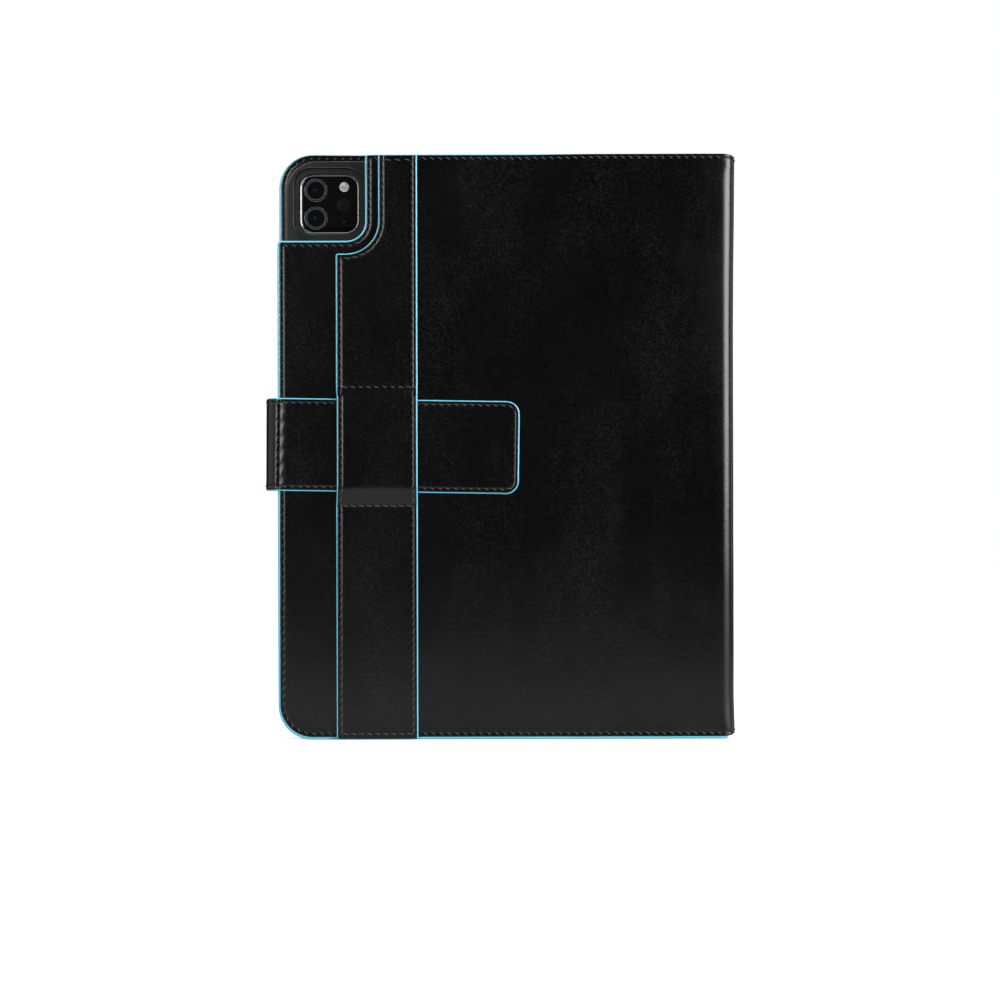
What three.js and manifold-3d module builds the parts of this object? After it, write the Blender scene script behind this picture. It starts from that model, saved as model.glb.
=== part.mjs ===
// Book-style leather tablet case, closed and standing on its long bottom edge.
// Units are millimetres and +Z is up. The back panel faces -Y, the front cover faces +Y,
// the spine is on the +X side, and the origin is at the middle of the bottom edge of the
// back panel's stiffener board.
import * as THREE from 'three';
import { mergeVertices } from 'three/addons/utils/BufferGeometryUtils.js';
import Module from 'manifold-3d';

const wasm = await Module();
wasm.setup();

// ---- Driving dimensions -----------------------------------------------------------------

// The case seen from its face.
const CASE_HEIGHT = 290.8;
const CASE_LEFT = -113.9;
const CASE_RIGHT = 113;
const FORE_EDGE_RADIUS = 17;
const PAINTED_EDGE = 0.8;
const LINING_INSET = 1.4;

// Sheet thicknesses, and the gap left between sheets that are glued together.
const LEATHER = 1.4;
const BOARD = 2;
const LINING = 0.6;
const GLUE_GAP = 0.1;

// The tablet that the case is cut for, and its place in the case.
const TABLET_WIDTH = 214.9;
const TABLET_HEIGHT = 280.6;
const TABLET_THICKNESS = 5.9;
const TABLET_LEFT = -108;
const TABLET_BOTTOM = 5;
const TABLET_RADIUS = 13.4;
const DISPLAY_GLASS = 0.6;
const GLASS_INSET = 0.3;
const TABLET_CLEARANCE = 0.2;
const COVER_CLEARANCE = 0.8;

// The hard tray around the tablet.
const TRAY_WALL = 2.1;
const TRAY_FLOOR = 1.4;
const TRAY_LINER = 0.4;
const TRAY_LIP_OVERHANG = 1.1;
const TRAY_LIP = 0.45;
const TRAY_CLIP_LENGTH = 34;
const TRAY_LINER_INSET = 2;
const CHARGING_SLOT = [-7, 7];
const SPEAKER_SLOTS = [[-88, -52], [52, 88]];
const TOP_SPEAKER_SLOT = [52, 88];
const SLOT_MARGIN = 1;
const FINGERTIP_MARGIN = 3.5;
const FINGERTIP_DEPTH_MARGIN = 0.5;

// The notch in the back panel that clears the camera.
const NOTCH_X = -70.3;
const NOTCH_Z = 248;
const NOTCH_RADIUS = 9.5;
const NOTCH_END_RADIUS = 2;

// The camera on the back of the tablet.
const CAMERA_X = -88.1;
const CAMERA_Z = 266.5;
const CAMERA_SIZE = 29.5;
const CAMERA_RADIUS = 6.8;
const CAMERA_RIM = 0.75;
const CAMERA_HEIGHT = 1.4;
const CAMERA_FIT = 0.4;
const COLLAR_HEIGHT = 1.5;
const COLLAR_WALL = 2.8;
const COLLAR_CLEARANCE = 0.5;
const LENS_RADIUS = 5.6;
const FLASH_RADIUS = 2.5;
const SENSOR_RADIUS = 3.7;
const ROUND_FIT = 0.1;
const PLATE_RECESS = 0.2;

// The hinge folds, where the leather turns round the corners of the spine.
const FOLD_RADIUS = 6;
const STRAP_FOLD_RADIUS = 7;
const FOLD_SPLIT = THREE.MathUtils.degToRad(1.5);
const SPINE_BOARD = 1;
const SPINE_LINING = 0.4;
const SPINE_LINING_OVERLAP = 0.5;

// The keeper band across the back panel, and the part of it that is left unsewn.
const BAND_RIGHT = -44.3;
const BAND_LEFT = -84.8;
const BAND_NOTCH_OFFSET = 6.6;
const BAND_CORNER = 1;
const BAND_LEATHER = 1.1;
const BAND_BACKING = 0.7;
const LOOP_LOW = 116.4;
const LOOP_HIGH = 175.7;
const LOOP_RAMP = 5.6;
const LOOP_CLEARANCE = 0.4;

// The closing strap.
const STRAP_LOW = 123.7;
const STRAP_HEIGHT = 46.2;
const STRAP_OUTER_X = -119.9;
const STRAP_END_X = 6.2;
const STRAP_END_RADIUS = 6.5;
const STRAP_DROP_PER_MM = 0.0167;
const STRAP_LEATHER = 1.1;
const STRAP_BACKING = 0.8;
const STRAP_THICKNESS = STRAP_LEATHER + GLUE_GAP + STRAP_BACKING;
const ANCHOR_END_X = -52;

// Push buttons on the edges of the tablet.
const BUTTON_LENGTH = 11;
const BUTTON_WIDTH = 2.6;
const BUTTON_PROUD = 0.7;
const BUTTON_ROOT = 0.8;
const BUTTON_POCKET = 1.4;
const BUTTON_CLEARANCE = 0.15;
const POWER_X = -69;
const VOLUME_UP_Z = 236;
const VOLUME_DOWN_Z = 221;

// Magnets in the cover board that wake the tablet.
const MAGNET_RADIUS = 5;
const MAGNET_THICKNESS = 1.4;
const MAGNET_X = 96;
const MAGNET_HEIGHTS = { wake_magnet_upper: 205, wake_magnet_lower: 85 };

const CURVE_SEGMENTS = 8;
const ROUND_SEGMENTS = 24;

// How far a cutting shape runs past the solid that it cuts.
const OVERCUT = 1;

// ---- The stack of layers from the back panel to the front cover, along Y ------------------

const backBoard = [-BOARD / 2, BOARD / 2];
const backLeather = [backBoard[0] - GLUE_GAP - LEATHER, backBoard[0] - GLUE_GAP];
const backLining = [backBoard[1] + GLUE_GAP, backBoard[1] + GLUE_GAP + LINING];
const trayFloor = [backLining[1] + GLUE_GAP, backLining[1] + GLUE_GAP + TRAY_FLOOR];
const trayLiner = [trayFloor[1] + GLUE_GAP, trayFloor[1] + GLUE_GAP + TRAY_LINER];
const tablet = [trayLiner[1] + GLUE_GAP, trayLiner[1] + GLUE_GAP + TABLET_THICKNESS];
const displayGlass = [tablet[1] - DISPLAY_GLASS, tablet[1]];
const coverLining = [tablet[1] + COVER_CLEARANCE, tablet[1] + COVER_CLEARANCE + LINING];
const coverBoard = [coverLining[1] + GLUE_GAP, coverLining[1] + GLUE_GAP + BOARD];
const coverLeather = [coverBoard[1] + GLUE_GAP, coverBoard[1] + GLUE_GAP + LEATHER];

const BACK_FACE = backLeather[0];
const COVER_FACE = coverLeather[1];
const PANEL_RIGHT = CASE_RIGHT - FOLD_RADIUS;
const BOARD_RIGHT = PANEL_RIGHT - LINING_INSET;
const TABLET_RIGHT = TABLET_LEFT + TABLET_WIDTH;
const TABLET_TOP = TABLET_BOTTOM + TABLET_HEIGHT;
const TABLET_MIDDLE = (tablet[0] + tablet[1]) / 2;

// ---- Materials ----------------------------------------------------------------------------

const material = (color, roughness, metalness) =>
  new THREE.MeshStandardMaterial({ color, roughness, metalness });

const leather = () => material(0x101011, 0.42, 0);
const paintedEdge = () => material(0x3fb6d6, 0.4, 0);
const lining = () => material(0x2b2b2d, 0.9, 0);
const boardCore = () => material(0x3fb6d6, 0.5, 0);
const shellPlastic = () => material(0x38383a, 0.6, 0);
const felt = () => material(0x232325, 0.95, 0);
const aluminium = () => material(0x77797c, 0.35, 1);
const blackGlass = () => material(0x050506, 0.08, 0);
const flashGlass = () => material(0xe8e6dc, 0.25, 0);
const magnetMetal = () => material(0x9a9b9d, 0.3, 1);

// ---- Solids and how they are joined -------------------------------------------------------

// A closed three.js geometry as a solid that can be joined and cut.
function solid(geometry) {
  const bare = geometry.index ? geometry.toNonIndexed() : geometry.clone();
  bare.deleteAttribute('normal');
  bare.deleteAttribute('uv');
  const merged = mergeVertices(bare, 1e-4);
  return new wasm.Manifold(new wasm.Mesh({
    numProp: 3,
    vertProperties: new Float32Array(merged.attributes.position.array),
    triVerts: new Uint32Array(merged.index.array),
  }));
}

// A solid back as a three.js geometry.
function geometryOf(body) {
  const mesh = body.getMesh();
  const geometry = new THREE.BufferGeometry();
  geometry.setAttribute('position', new THREE.BufferAttribute(mesh.vertProperties, 3));
  geometry.setIndex(new THREE.BufferAttribute(mesh.triVerts, 1));
  geometry.computeVertexNormals();
  return geometry;
}

// What is left of one geometry after cutting others out of it.
function cutAway(base, ...tools) {
  return geometryOf(tools.reduce((body, tool) => body.subtract(solid(tool)), solid(base)));
}

function joinTo(base, ...others) {
  return geometryOf(others.reduce((body, other) => body.add(solid(other)), solid(base)));
}

function common(a, b) {
  return geometryOf(solid(a).intersect(solid(b)));
}

// ---- Sheets and blocks --------------------------------------------------------------------

// A sheet whose outline is drawn in X and Z, and which fills a layer [low, high] along Y.
function sheet(outline, layer) {
  const options = { depth: layer[1] - layer[0], bevelEnabled: false, curveSegments: CURVE_SEGMENTS };
  const geometry = new THREE.ExtrudeGeometry(outline, options);
  geometry.rotateX(Math.PI / 2);
  geometry.translate(0, layer[1], 0);
  return geometry;
}

// A column whose section is drawn in X and Y, from z = low to z = high.
function column(section, low, high) {
  const options = { depth: high - low, bevelEnabled: false, curveSegments: CURVE_SEGMENTS };
  const geometry = new THREE.ExtrudeGeometry(section, options);
  geometry.translate(0, 0, low);
  return geometry;
}

function block(x, y, z) {
  const geometry = new THREE.BoxGeometry(x[1] - x[0], y[1] - y[0], z[1] - z[0]);
  geometry.translate((x[0] + x[1]) / 2, (y[0] + y[1]) / 2, (z[0] + z[1]) / 2);
  return geometry;
}

// A round disc that faces along Y.
function disc(x, z, radius, layer) {
  const geometry = new THREE.CylinderGeometry(radius, radius, layer[1] - layer[0], ROUND_SEGMENTS);
  geometry.translate(x, (layer[0] + layer[1]) / 2, z);
  return geometry;
}

// ---- Outlines in X and Z ------------------------------------------------------------------

function roundedBox(left, right, bottom, top, radius) {
  const shape = new THREE.Shape();
  shape.moveTo(left + radius, bottom);
  shape.absarc(right - radius, bottom + radius, radius, -Math.PI / 2, 0, false);
  shape.absarc(right - radius, top - radius, radius, 0, Math.PI / 2, false);
  shape.absarc(left + radius, top - radius, radius, Math.PI / 2, Math.PI, false);
  shape.absarc(left + radius, bottom + radius, radius, Math.PI, Math.PI * 1.5, false);
  shape.closePath();
  return shape;
}

function roundedSquare(x, z, size, radius) {
  const half = size / 2;
  return roundedBox(x - half, x + half, z - half, z + half, radius);
}

// Going left along the top of a sheet: down the notch's side, round its inner corner, and
// out to the left along its bottom. `offset` moves the edge away from the notch.
function followNotch(shape, offset) {
  const radius = NOTCH_RADIUS + offset;
  const centreX = NOTCH_X - NOTCH_RADIUS;
  const centreZ = NOTCH_Z + NOTCH_RADIUS;
  shape.absarc(centreX, centreZ, radius, 0, -Math.PI / 2, true);
}

// The outline of a cover or panel, square on the spine side and round at the fore edge.
function panelOutline(inset, right, notched) {
  const left = CASE_LEFT + inset;
  const bottom = inset;
  const top = CASE_HEIGHT - inset;
  const radius = FORE_EDGE_RADIUS - inset;
  const shape = new THREE.Shape();
  shape.moveTo(right, bottom);
  shape.lineTo(right, top);
  if (notched) {
    const end = NOTCH_END_RADIUS;
    const side = NOTCH_X + inset;
    const floor = NOTCH_Z - inset;
    shape.absarc(side + end, top - end, end, Math.PI / 2, Math.PI, false);
    followNotch(shape, inset);
    shape.absarc(left + end, floor - end, end, Math.PI / 2, Math.PI, false);
  } else {
    shape.absarc(left + radius, top - radius, radius, Math.PI / 2, Math.PI, false);
  }
  shape.absarc(left + radius, bottom + radius, radius, Math.PI, Math.PI * 1.5, false);
  shape.closePath();
  return shape;
}

// The keeper band steps round the camera notch at its top.
function bandOutline(inset) {
  const left = BAND_LEFT + inset;
  const right = BAND_RIGHT - inset;
  const bottom = PAINTED_EDGE + inset;
  const top = CASE_HEIGHT - PAINTED_EDGE - inset;
  const offset = BAND_NOTCH_OFFSET + inset;
  const corner = BAND_CORNER;
  const shape = new THREE.Shape();
  shape.moveTo(right, bottom);
  shape.lineTo(right, top);
  shape.lineTo(NOTCH_X + offset, top);
  followNotch(shape, offset);
  shape.absarc(left + corner, NOTCH_Z - offset - corner, corner, Math.PI / 2, Math.PI, false);
  shape.lineTo(left, bottom);
  shape.closePath();
  return shape;
}

// The height of the strap's lower edge at x: the tab drops a little towards its end.
function strapLow(x) {
  return STRAP_LOW - STRAP_DROP_PER_MM * (x - CASE_LEFT);
}

function tabOutline(inset) {
  const left = STRAP_OUTER_X - OVERCUT;
  const right = STRAP_END_X - inset;
  const radius = STRAP_END_RADIUS - inset;
  const low = (x) => strapLow(x) + inset;
  const high = (x) => strapLow(x) + STRAP_HEIGHT - inset;
  const shape = new THREE.Shape();
  shape.moveTo(left, high(left));
  shape.lineTo(left, low(left));
  shape.absarc(right - radius, low(right) + radius, radius, -Math.PI / 2, 0, false);
  shape.absarc(right - radius, high(right) - radius, radius, 0, Math.PI / 2, false);
  shape.closePath();
  return shape;
}

// ---- Sections in X and Y ------------------------------------------------------------------

// A flat sheet that ends in half of the bend round a fold. The bend's centre is at (x, y),
// the sheet lies along `side` (-1 or +1) of it in Y and runs to x = far.
function sheetWithHalfFold(x, y, side, toward, inner, outer, far) {
  const split = Math.PI / 4 - FOLD_SPLIT;
  const flat = side * Math.PI / 2;
  const steps = CURVE_SEGMENTS / 2;
  const shape = new THREE.Shape();
  shape.moveTo(far, y + side * outer);
  for (let i = 0; i <= steps; i += 1) {
    const angle = flat - side * toward * split * i / steps;
    shape.lineTo(x + outer * Math.cos(angle), y + outer * Math.sin(angle));
  }
  for (let i = steps; i >= 0; i -= 1) {
    const angle = flat - side * toward * split * i / steps;
    shape.lineTo(x + inner * Math.cos(angle), y + inner * Math.sin(angle));
  }
  shape.lineTo(far, y + side * inner);
  shape.closePath();
  return shape;
}

// A wall that turns half of a bend at both ends: `toward` is the side it bulges to in X.
function wallWithTwoHalfFolds(x, yLow, yHigh, toward, inner, outer) {
  const split = Math.PI / 4 - FOLD_SPLIT;
  const steps = CURVE_SEGMENTS / 2;
  const shape = new THREE.Shape();
  const trace = (radius, y, from, to) => {
    for (let i = 0; i <= steps; i += 1) {
      const angle = from + (to - from) * i / steps;
      shape.lineTo(x + toward * radius * Math.cos(angle), y + radius * Math.sin(angle));
    }
  };
  const start = -split;
  shape.moveTo(x + toward * outer * Math.cos(start), yLow + outer * Math.sin(start));
  trace(outer, yLow, start, 0);
  trace(outer, yHigh, 0, split);
  trace(inner, yHigh, split, 0);
  trace(inner, yLow, 0, start);
  shape.closePath();
  return shape;
}

// ---- The back panel -----------------------------------------------------------------------

function backLeatherSheet() {
  const y = BACK_FACE + FOLD_RADIUS;
  const inner = FOLD_RADIUS - LEATHER;
  const far = CASE_LEFT;
  const section = sheetWithHalfFold(PANEL_RIGHT, y, -1, 1, inner, FOLD_RADIUS, far);
  const wrapped = column(section, 0, CASE_HEIGHT);
  const outline = panelOutline(PAINTED_EDGE, CASE_RIGHT, true);
  return common(wrapped, sheet(outline, [BACK_FACE - OVERCUT, y]));
}

const backBoardSheet = () => sheet(panelOutline(0, BOARD_RIGHT, true), backBoard);

const backLiningSheet = () => sheet(panelOutline(LINING_INSET, BOARD_RIGHT, true), backLining);

// ---- The keeper band ----------------------------------------------------------------------

// A layer of the band, raised over the strap between the two rows of cross stitching.
// `inner` and `outer` are its distances from the back panel where it is sewn down flat.
function bandLayer(inner, outer, inset) {
  const lift = STRAP_THICKNESS + LOOP_CLEARANCE;
  const path = (height) => [
    [0, height],
    [LOOP_LOW, height],
    [LOOP_LOW + LOOP_RAMP, height + lift],
    [LOOP_HIGH - LOOP_RAMP, height + lift],
    [LOOP_HIGH, height],
    [CASE_HEIGHT, height],
  ];
  // In the drawn section x is -Z and y is Y; it is swept along +X.
  const place = ([z, height]) => new THREE.Vector2(-z, BACK_FACE - height);
  const points = [...path(inner), ...path(outer).reverse()].map(place);
  const options = { depth: BAND_RIGHT - BAND_LEFT, bevelEnabled: false };
  const swept = new THREE.ExtrudeGeometry(new THREE.Shape(points), options);
  swept.rotateY(Math.PI / 2);
  swept.translate(BAND_LEFT, 0, 0);
  return common(swept, sheet(bandOutline(inset), [BACK_FACE - outer - lift - OVERCUT, BACK_FACE]));
}

const bandBackingSheet = () => bandLayer(GLUE_GAP, GLUE_GAP + BAND_BACKING, 0);

function bandLeatherSheet() {
  const inner = 2 * GLUE_GAP + BAND_BACKING;
  return bandLayer(inner, inner + BAND_LEATHER, PAINTED_EDGE / 2);
}

// ---- The tray -----------------------------------------------------------------------------

function tabletOutline(grow) {
  return roundedBox(TABLET_LEFT - grow, TABLET_RIGHT + grow, TABLET_BOTTOM - grow,
    TABLET_TOP + grow, TABLET_RADIUS + grow);
}

// The tray's end walls, and the room just outside them.
const wallReach = TRAY_WALL + OVERCUT;
const bottomWall = [TABLET_BOTTOM - wallReach, TABLET_BOTTOM];
const topWall = [TABLET_TOP, TABLET_TOP + wallReach];
const leftWall = [TABLET_LEFT - wallReach, TABLET_LEFT];

// Slots through the tray's end walls for the charging socket and the loudspeakers.
function traySlots() {
  const depth = [tablet[0] + SLOT_MARGIN, tablet[1] - SLOT_MARGIN];
  const bottomSlots = [CHARGING_SLOT, ...SPEAKER_SLOTS].map((x) => block(x, depth, bottomWall));
  return [...bottomSlots, block(TOP_SPEAKER_SLOT, depth, topWall)];
}

// Openings in the walls that leave room for a fingertip on each button.
function buttonWindows() {
  const depth = [tablet[0] + FINGERTIP_DEPTH_MARGIN, tablet[1] + OVERCUT];
  const half = BUTTON_LENGTH / 2 + FINGERTIP_MARGIN;
  return [
    block([POWER_X - half, POWER_X + half], depth, topWall),
    block(leftWall, depth, [VOLUME_DOWN_Z - half, VOLUME_UP_Z + half]),
  ];
}

// The wall's lip overhangs the glass at the four corners only.
function trayFrontOpening() {
  const lipStart = tablet[1] + TABLET_CLEARANCE;
  const layer = [lipStart - GLUE_GAP, lipStart + TRAY_LIP + OVERCUT];
  const clip = TRAY_CLIP_LENGTH;
  const reach = TABLET_CLEARANCE;
  return [
    sheet(tabletOutline(-TRAY_LIP_OVERHANG), layer),
    block([TABLET_LEFT - reach, TABLET_RIGHT + reach], layer,
      [TABLET_BOTTOM + clip, TABLET_TOP - clip]),
    block([TABLET_LEFT + clip, TABLET_RIGHT - clip], layer,
      [TABLET_BOTTOM - reach, TABLET_TOP + reach]),
  ];
}

function cameraCollar() {
  const half = CAMERA_SIZE / 2 + CAMERA_FIT + COLLAR_WALL;
  const right = NOTCH_X - COLLAR_CLEARANCE;
  const bottom = NOTCH_Z + COLLAR_CLEARANCE;
  const radius = NOTCH_RADIUS - COLLAR_CLEARANCE;
  const outline = roundedBox(CAMERA_X - half, right, bottom, CAMERA_Z + half, radius);
  return sheet(outline, [trayFloor[0] - COLLAR_HEIGHT, trayFloor[1]]);
}

function trayShell() {
  const grow = TRAY_WALL + TABLET_CLEARANCE;
  const outer = sheet(tabletOutline(grow), [trayFloor[0], tablet[1] + TABLET_CLEARANCE + TRAY_LIP]);
  const cavityLayer = [trayFloor[1], tablet[1] + TABLET_CLEARANCE];
  const cavity = sheet(tabletOutline(TABLET_CLEARANCE), cavityLayer);
  const size = CAMERA_SIZE + 2 * CAMERA_FIT;
  const hole = roundedSquare(CAMERA_X, CAMERA_Z, size, CAMERA_RADIUS + CAMERA_FIT);
  const cameraHole = sheet(hole, [trayFloor[0] - COLLAR_HEIGHT - OVERCUT, trayFloor[1] + OVERCUT]);
  return cutAway(joinTo(outer, cameraCollar()), cavity, cameraHole,
    ...trayFrontOpening(), ...traySlots(), ...buttonWindows());
}

function trayLinerSheet() {
  const size = CAMERA_SIZE + 4 * CAMERA_FIT;
  const hole = roundedSquare(CAMERA_X, CAMERA_Z, size, CAMERA_RADIUS + CAMERA_FIT);
  const outline = tabletOutline(-TRAY_LINER_INSET);
  outline.holes.push(hole);
  return sheet(outline, trayLiner);
}

// ---- The tablet ---------------------------------------------------------------------------

function buttonDepth(extra) {
  return [TABLET_MIDDLE - BUTTON_WIDTH / 2 - extra, TABLET_MIDDLE + BUTTON_WIDTH / 2 + extra];
}

// A box along the top edge, from `low` under the surface to `high` over it.
function topButtonBox(x, extra, low, high) {
  const half = BUTTON_LENGTH / 2 + extra;
  return block([x - half, x + half], buttonDepth(extra), [TABLET_TOP - low, TABLET_TOP + high]);
}

// The same on the left edge.
function sideButtonBox(z, extra, low, high) {
  const half = BUTTON_LENGTH / 2 + extra;
  return block([TABLET_LEFT - high, TABLET_LEFT + low], buttonDepth(extra), [z - half, z + half]);
}

function tabletHousing() {
  const body = sheet(tabletOutline(0), [tablet[0], displayGlass[0] - GLUE_GAP]);
  return cutAway(body,
    topButtonBox(POWER_X, BUTTON_CLEARANCE, BUTTON_POCKET, OVERCUT),
    sideButtonBox(VOLUME_UP_Z, BUTTON_CLEARANCE, BUTTON_POCKET, OVERCUT),
    sideButtonBox(VOLUME_DOWN_Z, BUTTON_CLEARANCE, BUTTON_POCKET, OVERCUT));
}

const tabletGlass = () => sheet(tabletOutline(-GLASS_INSET), displayGlass);

// ---- The camera ---------------------------------------------------------------------------

const cameraLayer = [tablet[0] - GLUE_GAP - CAMERA_HEIGHT, tablet[0] - GLUE_GAP];

// Round pieces set in the camera's glass plate, as offsets from its middle.
const roundPieces = [
  { name: 'lens_wide', dx: -6.8, dz: 7.0, radius: LENS_RADIUS, proud: 0.3, look: blackGlass },
  { name: 'lens_ultrawide', dx: -6.8, dz: -6.9, radius: LENS_RADIUS, proud: 0.3, look: blackGlass },
  { name: 'camera_flash', dx: 7.3, dz: 8.6, radius: FLASH_RADIUS, proud: 0.05, look: flashGlass },
  { name: 'depth_sensor', dx: 7, dz: -0.5, radius: SENSOR_RADIUS, proud: 0.05, look: blackGlass },
];

const plateLayer = [cameraLayer[0] + PLATE_RECESS, cameraLayer[1]];

function cameraRimRing() {
  const outline = roundedSquare(CAMERA_X, CAMERA_Z, CAMERA_SIZE, CAMERA_RADIUS);
  const inner = CAMERA_SIZE - 2 * CAMERA_RIM;
  outline.holes.push(roundedSquare(CAMERA_X, CAMERA_Z, inner, CAMERA_RADIUS - CAMERA_RIM));
  return sheet(outline, cameraLayer);
}

function cameraPlate() {
  const size = CAMERA_SIZE - 2 * (CAMERA_RIM + ROUND_FIT);
  const radius = CAMERA_RADIUS - CAMERA_RIM - ROUND_FIT;
  const plate = sheet(roundedSquare(CAMERA_X, CAMERA_Z, size, radius), plateLayer);
  const layer = [plateLayer[0] - OVERCUT, plateLayer[1] + OVERCUT];
  const holes = roundPieces.map((piece) =>
    disc(CAMERA_X + piece.dx, CAMERA_Z + piece.dz, piece.radius + ROUND_FIT, layer));
  return cutAway(plate, ...holes);
}

const roundPiece = (piece) => disc(CAMERA_X + piece.dx, CAMERA_Z + piece.dz, piece.radius,
  [plateLayer[0] - piece.proud, plateLayer[1]]);

// ---- The spine ----------------------------------------------------------------------------

const foldLow = BACK_FACE + FOLD_RADIUS;
const foldHigh = COVER_FACE - FOLD_RADIUS;

function spineLeatherSheet() {
  const inner = FOLD_RADIUS - LEATHER;
  const section = wallWithTwoHalfFolds(PANEL_RIGHT, foldLow, foldHigh, 1, inner, FOLD_RADIUS);
  return column(section, PAINTED_EDGE, CASE_HEIGHT - PAINTED_EDGE);
}

function spineBoardSheet() {
  const right = CASE_RIGHT - LEATHER - GLUE_GAP;
  return block([right - SPINE_BOARD, right], [foldLow, foldHigh],
    [LINING_INSET, CASE_HEIGHT - LINING_INSET]);
}

function spineLiningSheet() {
  const right = CASE_RIGHT - LEATHER - 2 * GLUE_GAP - SPINE_BOARD;
  return block([right - SPINE_LINING, right],
    [foldLow - SPINE_LINING_OVERLAP, foldHigh + SPINE_LINING_OVERLAP],
    [LINING_INSET, CASE_HEIGHT - LINING_INSET]);
}

// ---- The front cover ----------------------------------------------------------------------

function coverLeatherSheet() {
  const y = foldHigh;
  const inner = FOLD_RADIUS - LEATHER;
  const section = sheetWithHalfFold(PANEL_RIGHT, y, 1, 1, inner, FOLD_RADIUS, CASE_LEFT);
  const wrapped = column(section, 0, CASE_HEIGHT);
  const outline = panelOutline(PAINTED_EDGE, CASE_RIGHT, false);
  return common(wrapped, sheet(outline, [y, COVER_FACE + OVERCUT]));
}

function coverBoardSheet() {
  const board = sheet(panelOutline(0, BOARD_RIGHT, false), coverBoard);
  const layer = [coverBoard[0] - OVERCUT, coverBoard[1] + OVERCUT];
  const holes = Object.values(MAGNET_HEIGHTS).map((z) =>
    disc(MAGNET_X, z, MAGNET_RADIUS + ROUND_FIT, layer));
  return cutAway(board, ...holes);
}

const coverLiningSheet = () => sheet(panelOutline(LINING_INSET, BOARD_RIGHT, false), coverLining);

function magnet(z) {
  const middle = (coverBoard[0] + coverBoard[1]) / 2;
  const layer = [middle - MAGNET_THICKNESS / 2, middle + MAGNET_THICKNESS / 2];
  return disc(MAGNET_X, z, MAGNET_RADIUS, layer);
}

// ---- The closing strap --------------------------------------------------------------------

const STRAP_BACK_FACE = BACK_FACE - GLUE_GAP - STRAP_THICKNESS;
const STRAP_COVER_FACE = COVER_FACE + GLUE_GAP + STRAP_THICKNESS;
const strapFoldX = STRAP_OUTER_X + STRAP_FOLD_RADIUS;
const strapFoldLow = STRAP_BACK_FACE + STRAP_FOLD_RADIUS;
const strapFoldHigh = STRAP_COVER_FACE - STRAP_FOLD_RADIUS;

// Sewn to the outside of the front cover.
function strapAnchor() {
  const inner = STRAP_FOLD_RADIUS - STRAP_THICKNESS;
  const section = sheetWithHalfFold(strapFoldX, strapFoldHigh, 1, -1, inner, STRAP_FOLD_RADIUS,
    ANCHOR_END_X);
  return column(section, STRAP_LOW, STRAP_LOW + STRAP_HEIGHT);
}

// Crosses the fore edge of the closed case.
function strapWrap() {
  const inner = STRAP_FOLD_RADIUS - STRAP_THICKNESS;
  const section = wallWithTwoHalfFolds(strapFoldX, strapFoldLow, strapFoldHigh, -1, inner,
    STRAP_FOLD_RADIUS);
  return column(section, STRAP_LOW, STRAP_LOW + STRAP_HEIGHT);
}

// One layer of the tab, which slips under the keeper band. `outer` and `inner` are radii at
// the fold, which sets the layer's place in the tab's thickness.
function tabLayer(inner, outer, inset) {
  const section = sheetWithHalfFold(strapFoldX, strapFoldLow, -1, -1, inner, outer, STRAP_END_X);
  const wrapped = column(section, 0, CASE_HEIGHT);
  return common(wrapped, sheet(tabOutline(inset), [STRAP_BACK_FACE - OVERCUT, strapFoldLow]));
}

const tabLeather = () =>
  tabLayer(STRAP_FOLD_RADIUS - STRAP_LEATHER, STRAP_FOLD_RADIUS, PAINTED_EDGE / 2);

const tabBacking = () => tabLayer(STRAP_FOLD_RADIUS - STRAP_THICKNESS,
  STRAP_FOLD_RADIUS - STRAP_LEATHER - GLUE_GAP, 0);

// ---- The assembly -------------------------------------------------------------------------

function piece(name, geometry, look) {
  const mesh = new THREE.Mesh(geometry, look);
  mesh.name = name;
  return mesh;
}

function backAssembly() {
  const group = new THREE.Group();
  group.add(
    piece('back_leather', backLeatherSheet(), leather()),
    piece('back_board', backBoardSheet(), boardCore()),
    piece('back_lining', backLiningSheet(), lining()),
    piece('keeper_band', bandLeatherSheet(), leather()),
    piece('keeper_backing', bandBackingSheet(), paintedEdge()),
    piece('tray_shell', trayShell(), shellPlastic()),
    piece('tray_liner', trayLinerSheet(), felt()),
  );
  return group;
}

function tabletAssembly() {
  const group = new THREE.Group();
  group.add(
    piece('tablet_housing', tabletHousing(), aluminium()),
    piece('tablet_glass', tabletGlass(), blackGlass()),
    piece('camera_rim', cameraRimRing(), aluminium()),
    piece('camera_plate', cameraPlate(), blackGlass()),
    piece('power_button', topButtonBox(POWER_X, 0, BUTTON_ROOT, BUTTON_PROUD), aluminium()),
    piece('volume_up_button', sideButtonBox(VOLUME_UP_Z, 0, BUTTON_ROOT, BUTTON_PROUD), aluminium()),
    piece('volume_down_button', sideButtonBox(VOLUME_DOWN_Z, 0, BUTTON_ROOT, BUTTON_PROUD),
      aluminium()),
  );
  roundPieces.forEach((item) => group.add(piece(item.name, roundPiece(item), item.look())));
  return group;
}

function spineAssembly() {
  const group = new THREE.Group();
  group.add(
    piece('spine_leather', spineLeatherSheet(), leather()),
    piece('spine_board', spineBoardSheet(), boardCore()),
    piece('spine_lining', spineLiningSheet(), lining()),
  );
  return group;
}

function coverAssembly() {
  const group = new THREE.Group();
  group.add(
    piece('cover_leather', coverLeatherSheet(), leather()),
    piece('cover_board', coverBoardSheet(), boardCore()),
    piece('cover_lining', coverLiningSheet(), lining()),
  );
  Object.entries(MAGNET_HEIGHTS).forEach(([name, z]) =>
    group.add(piece(name, magnet(z), magnetMetal())));
  return group;
}

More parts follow.
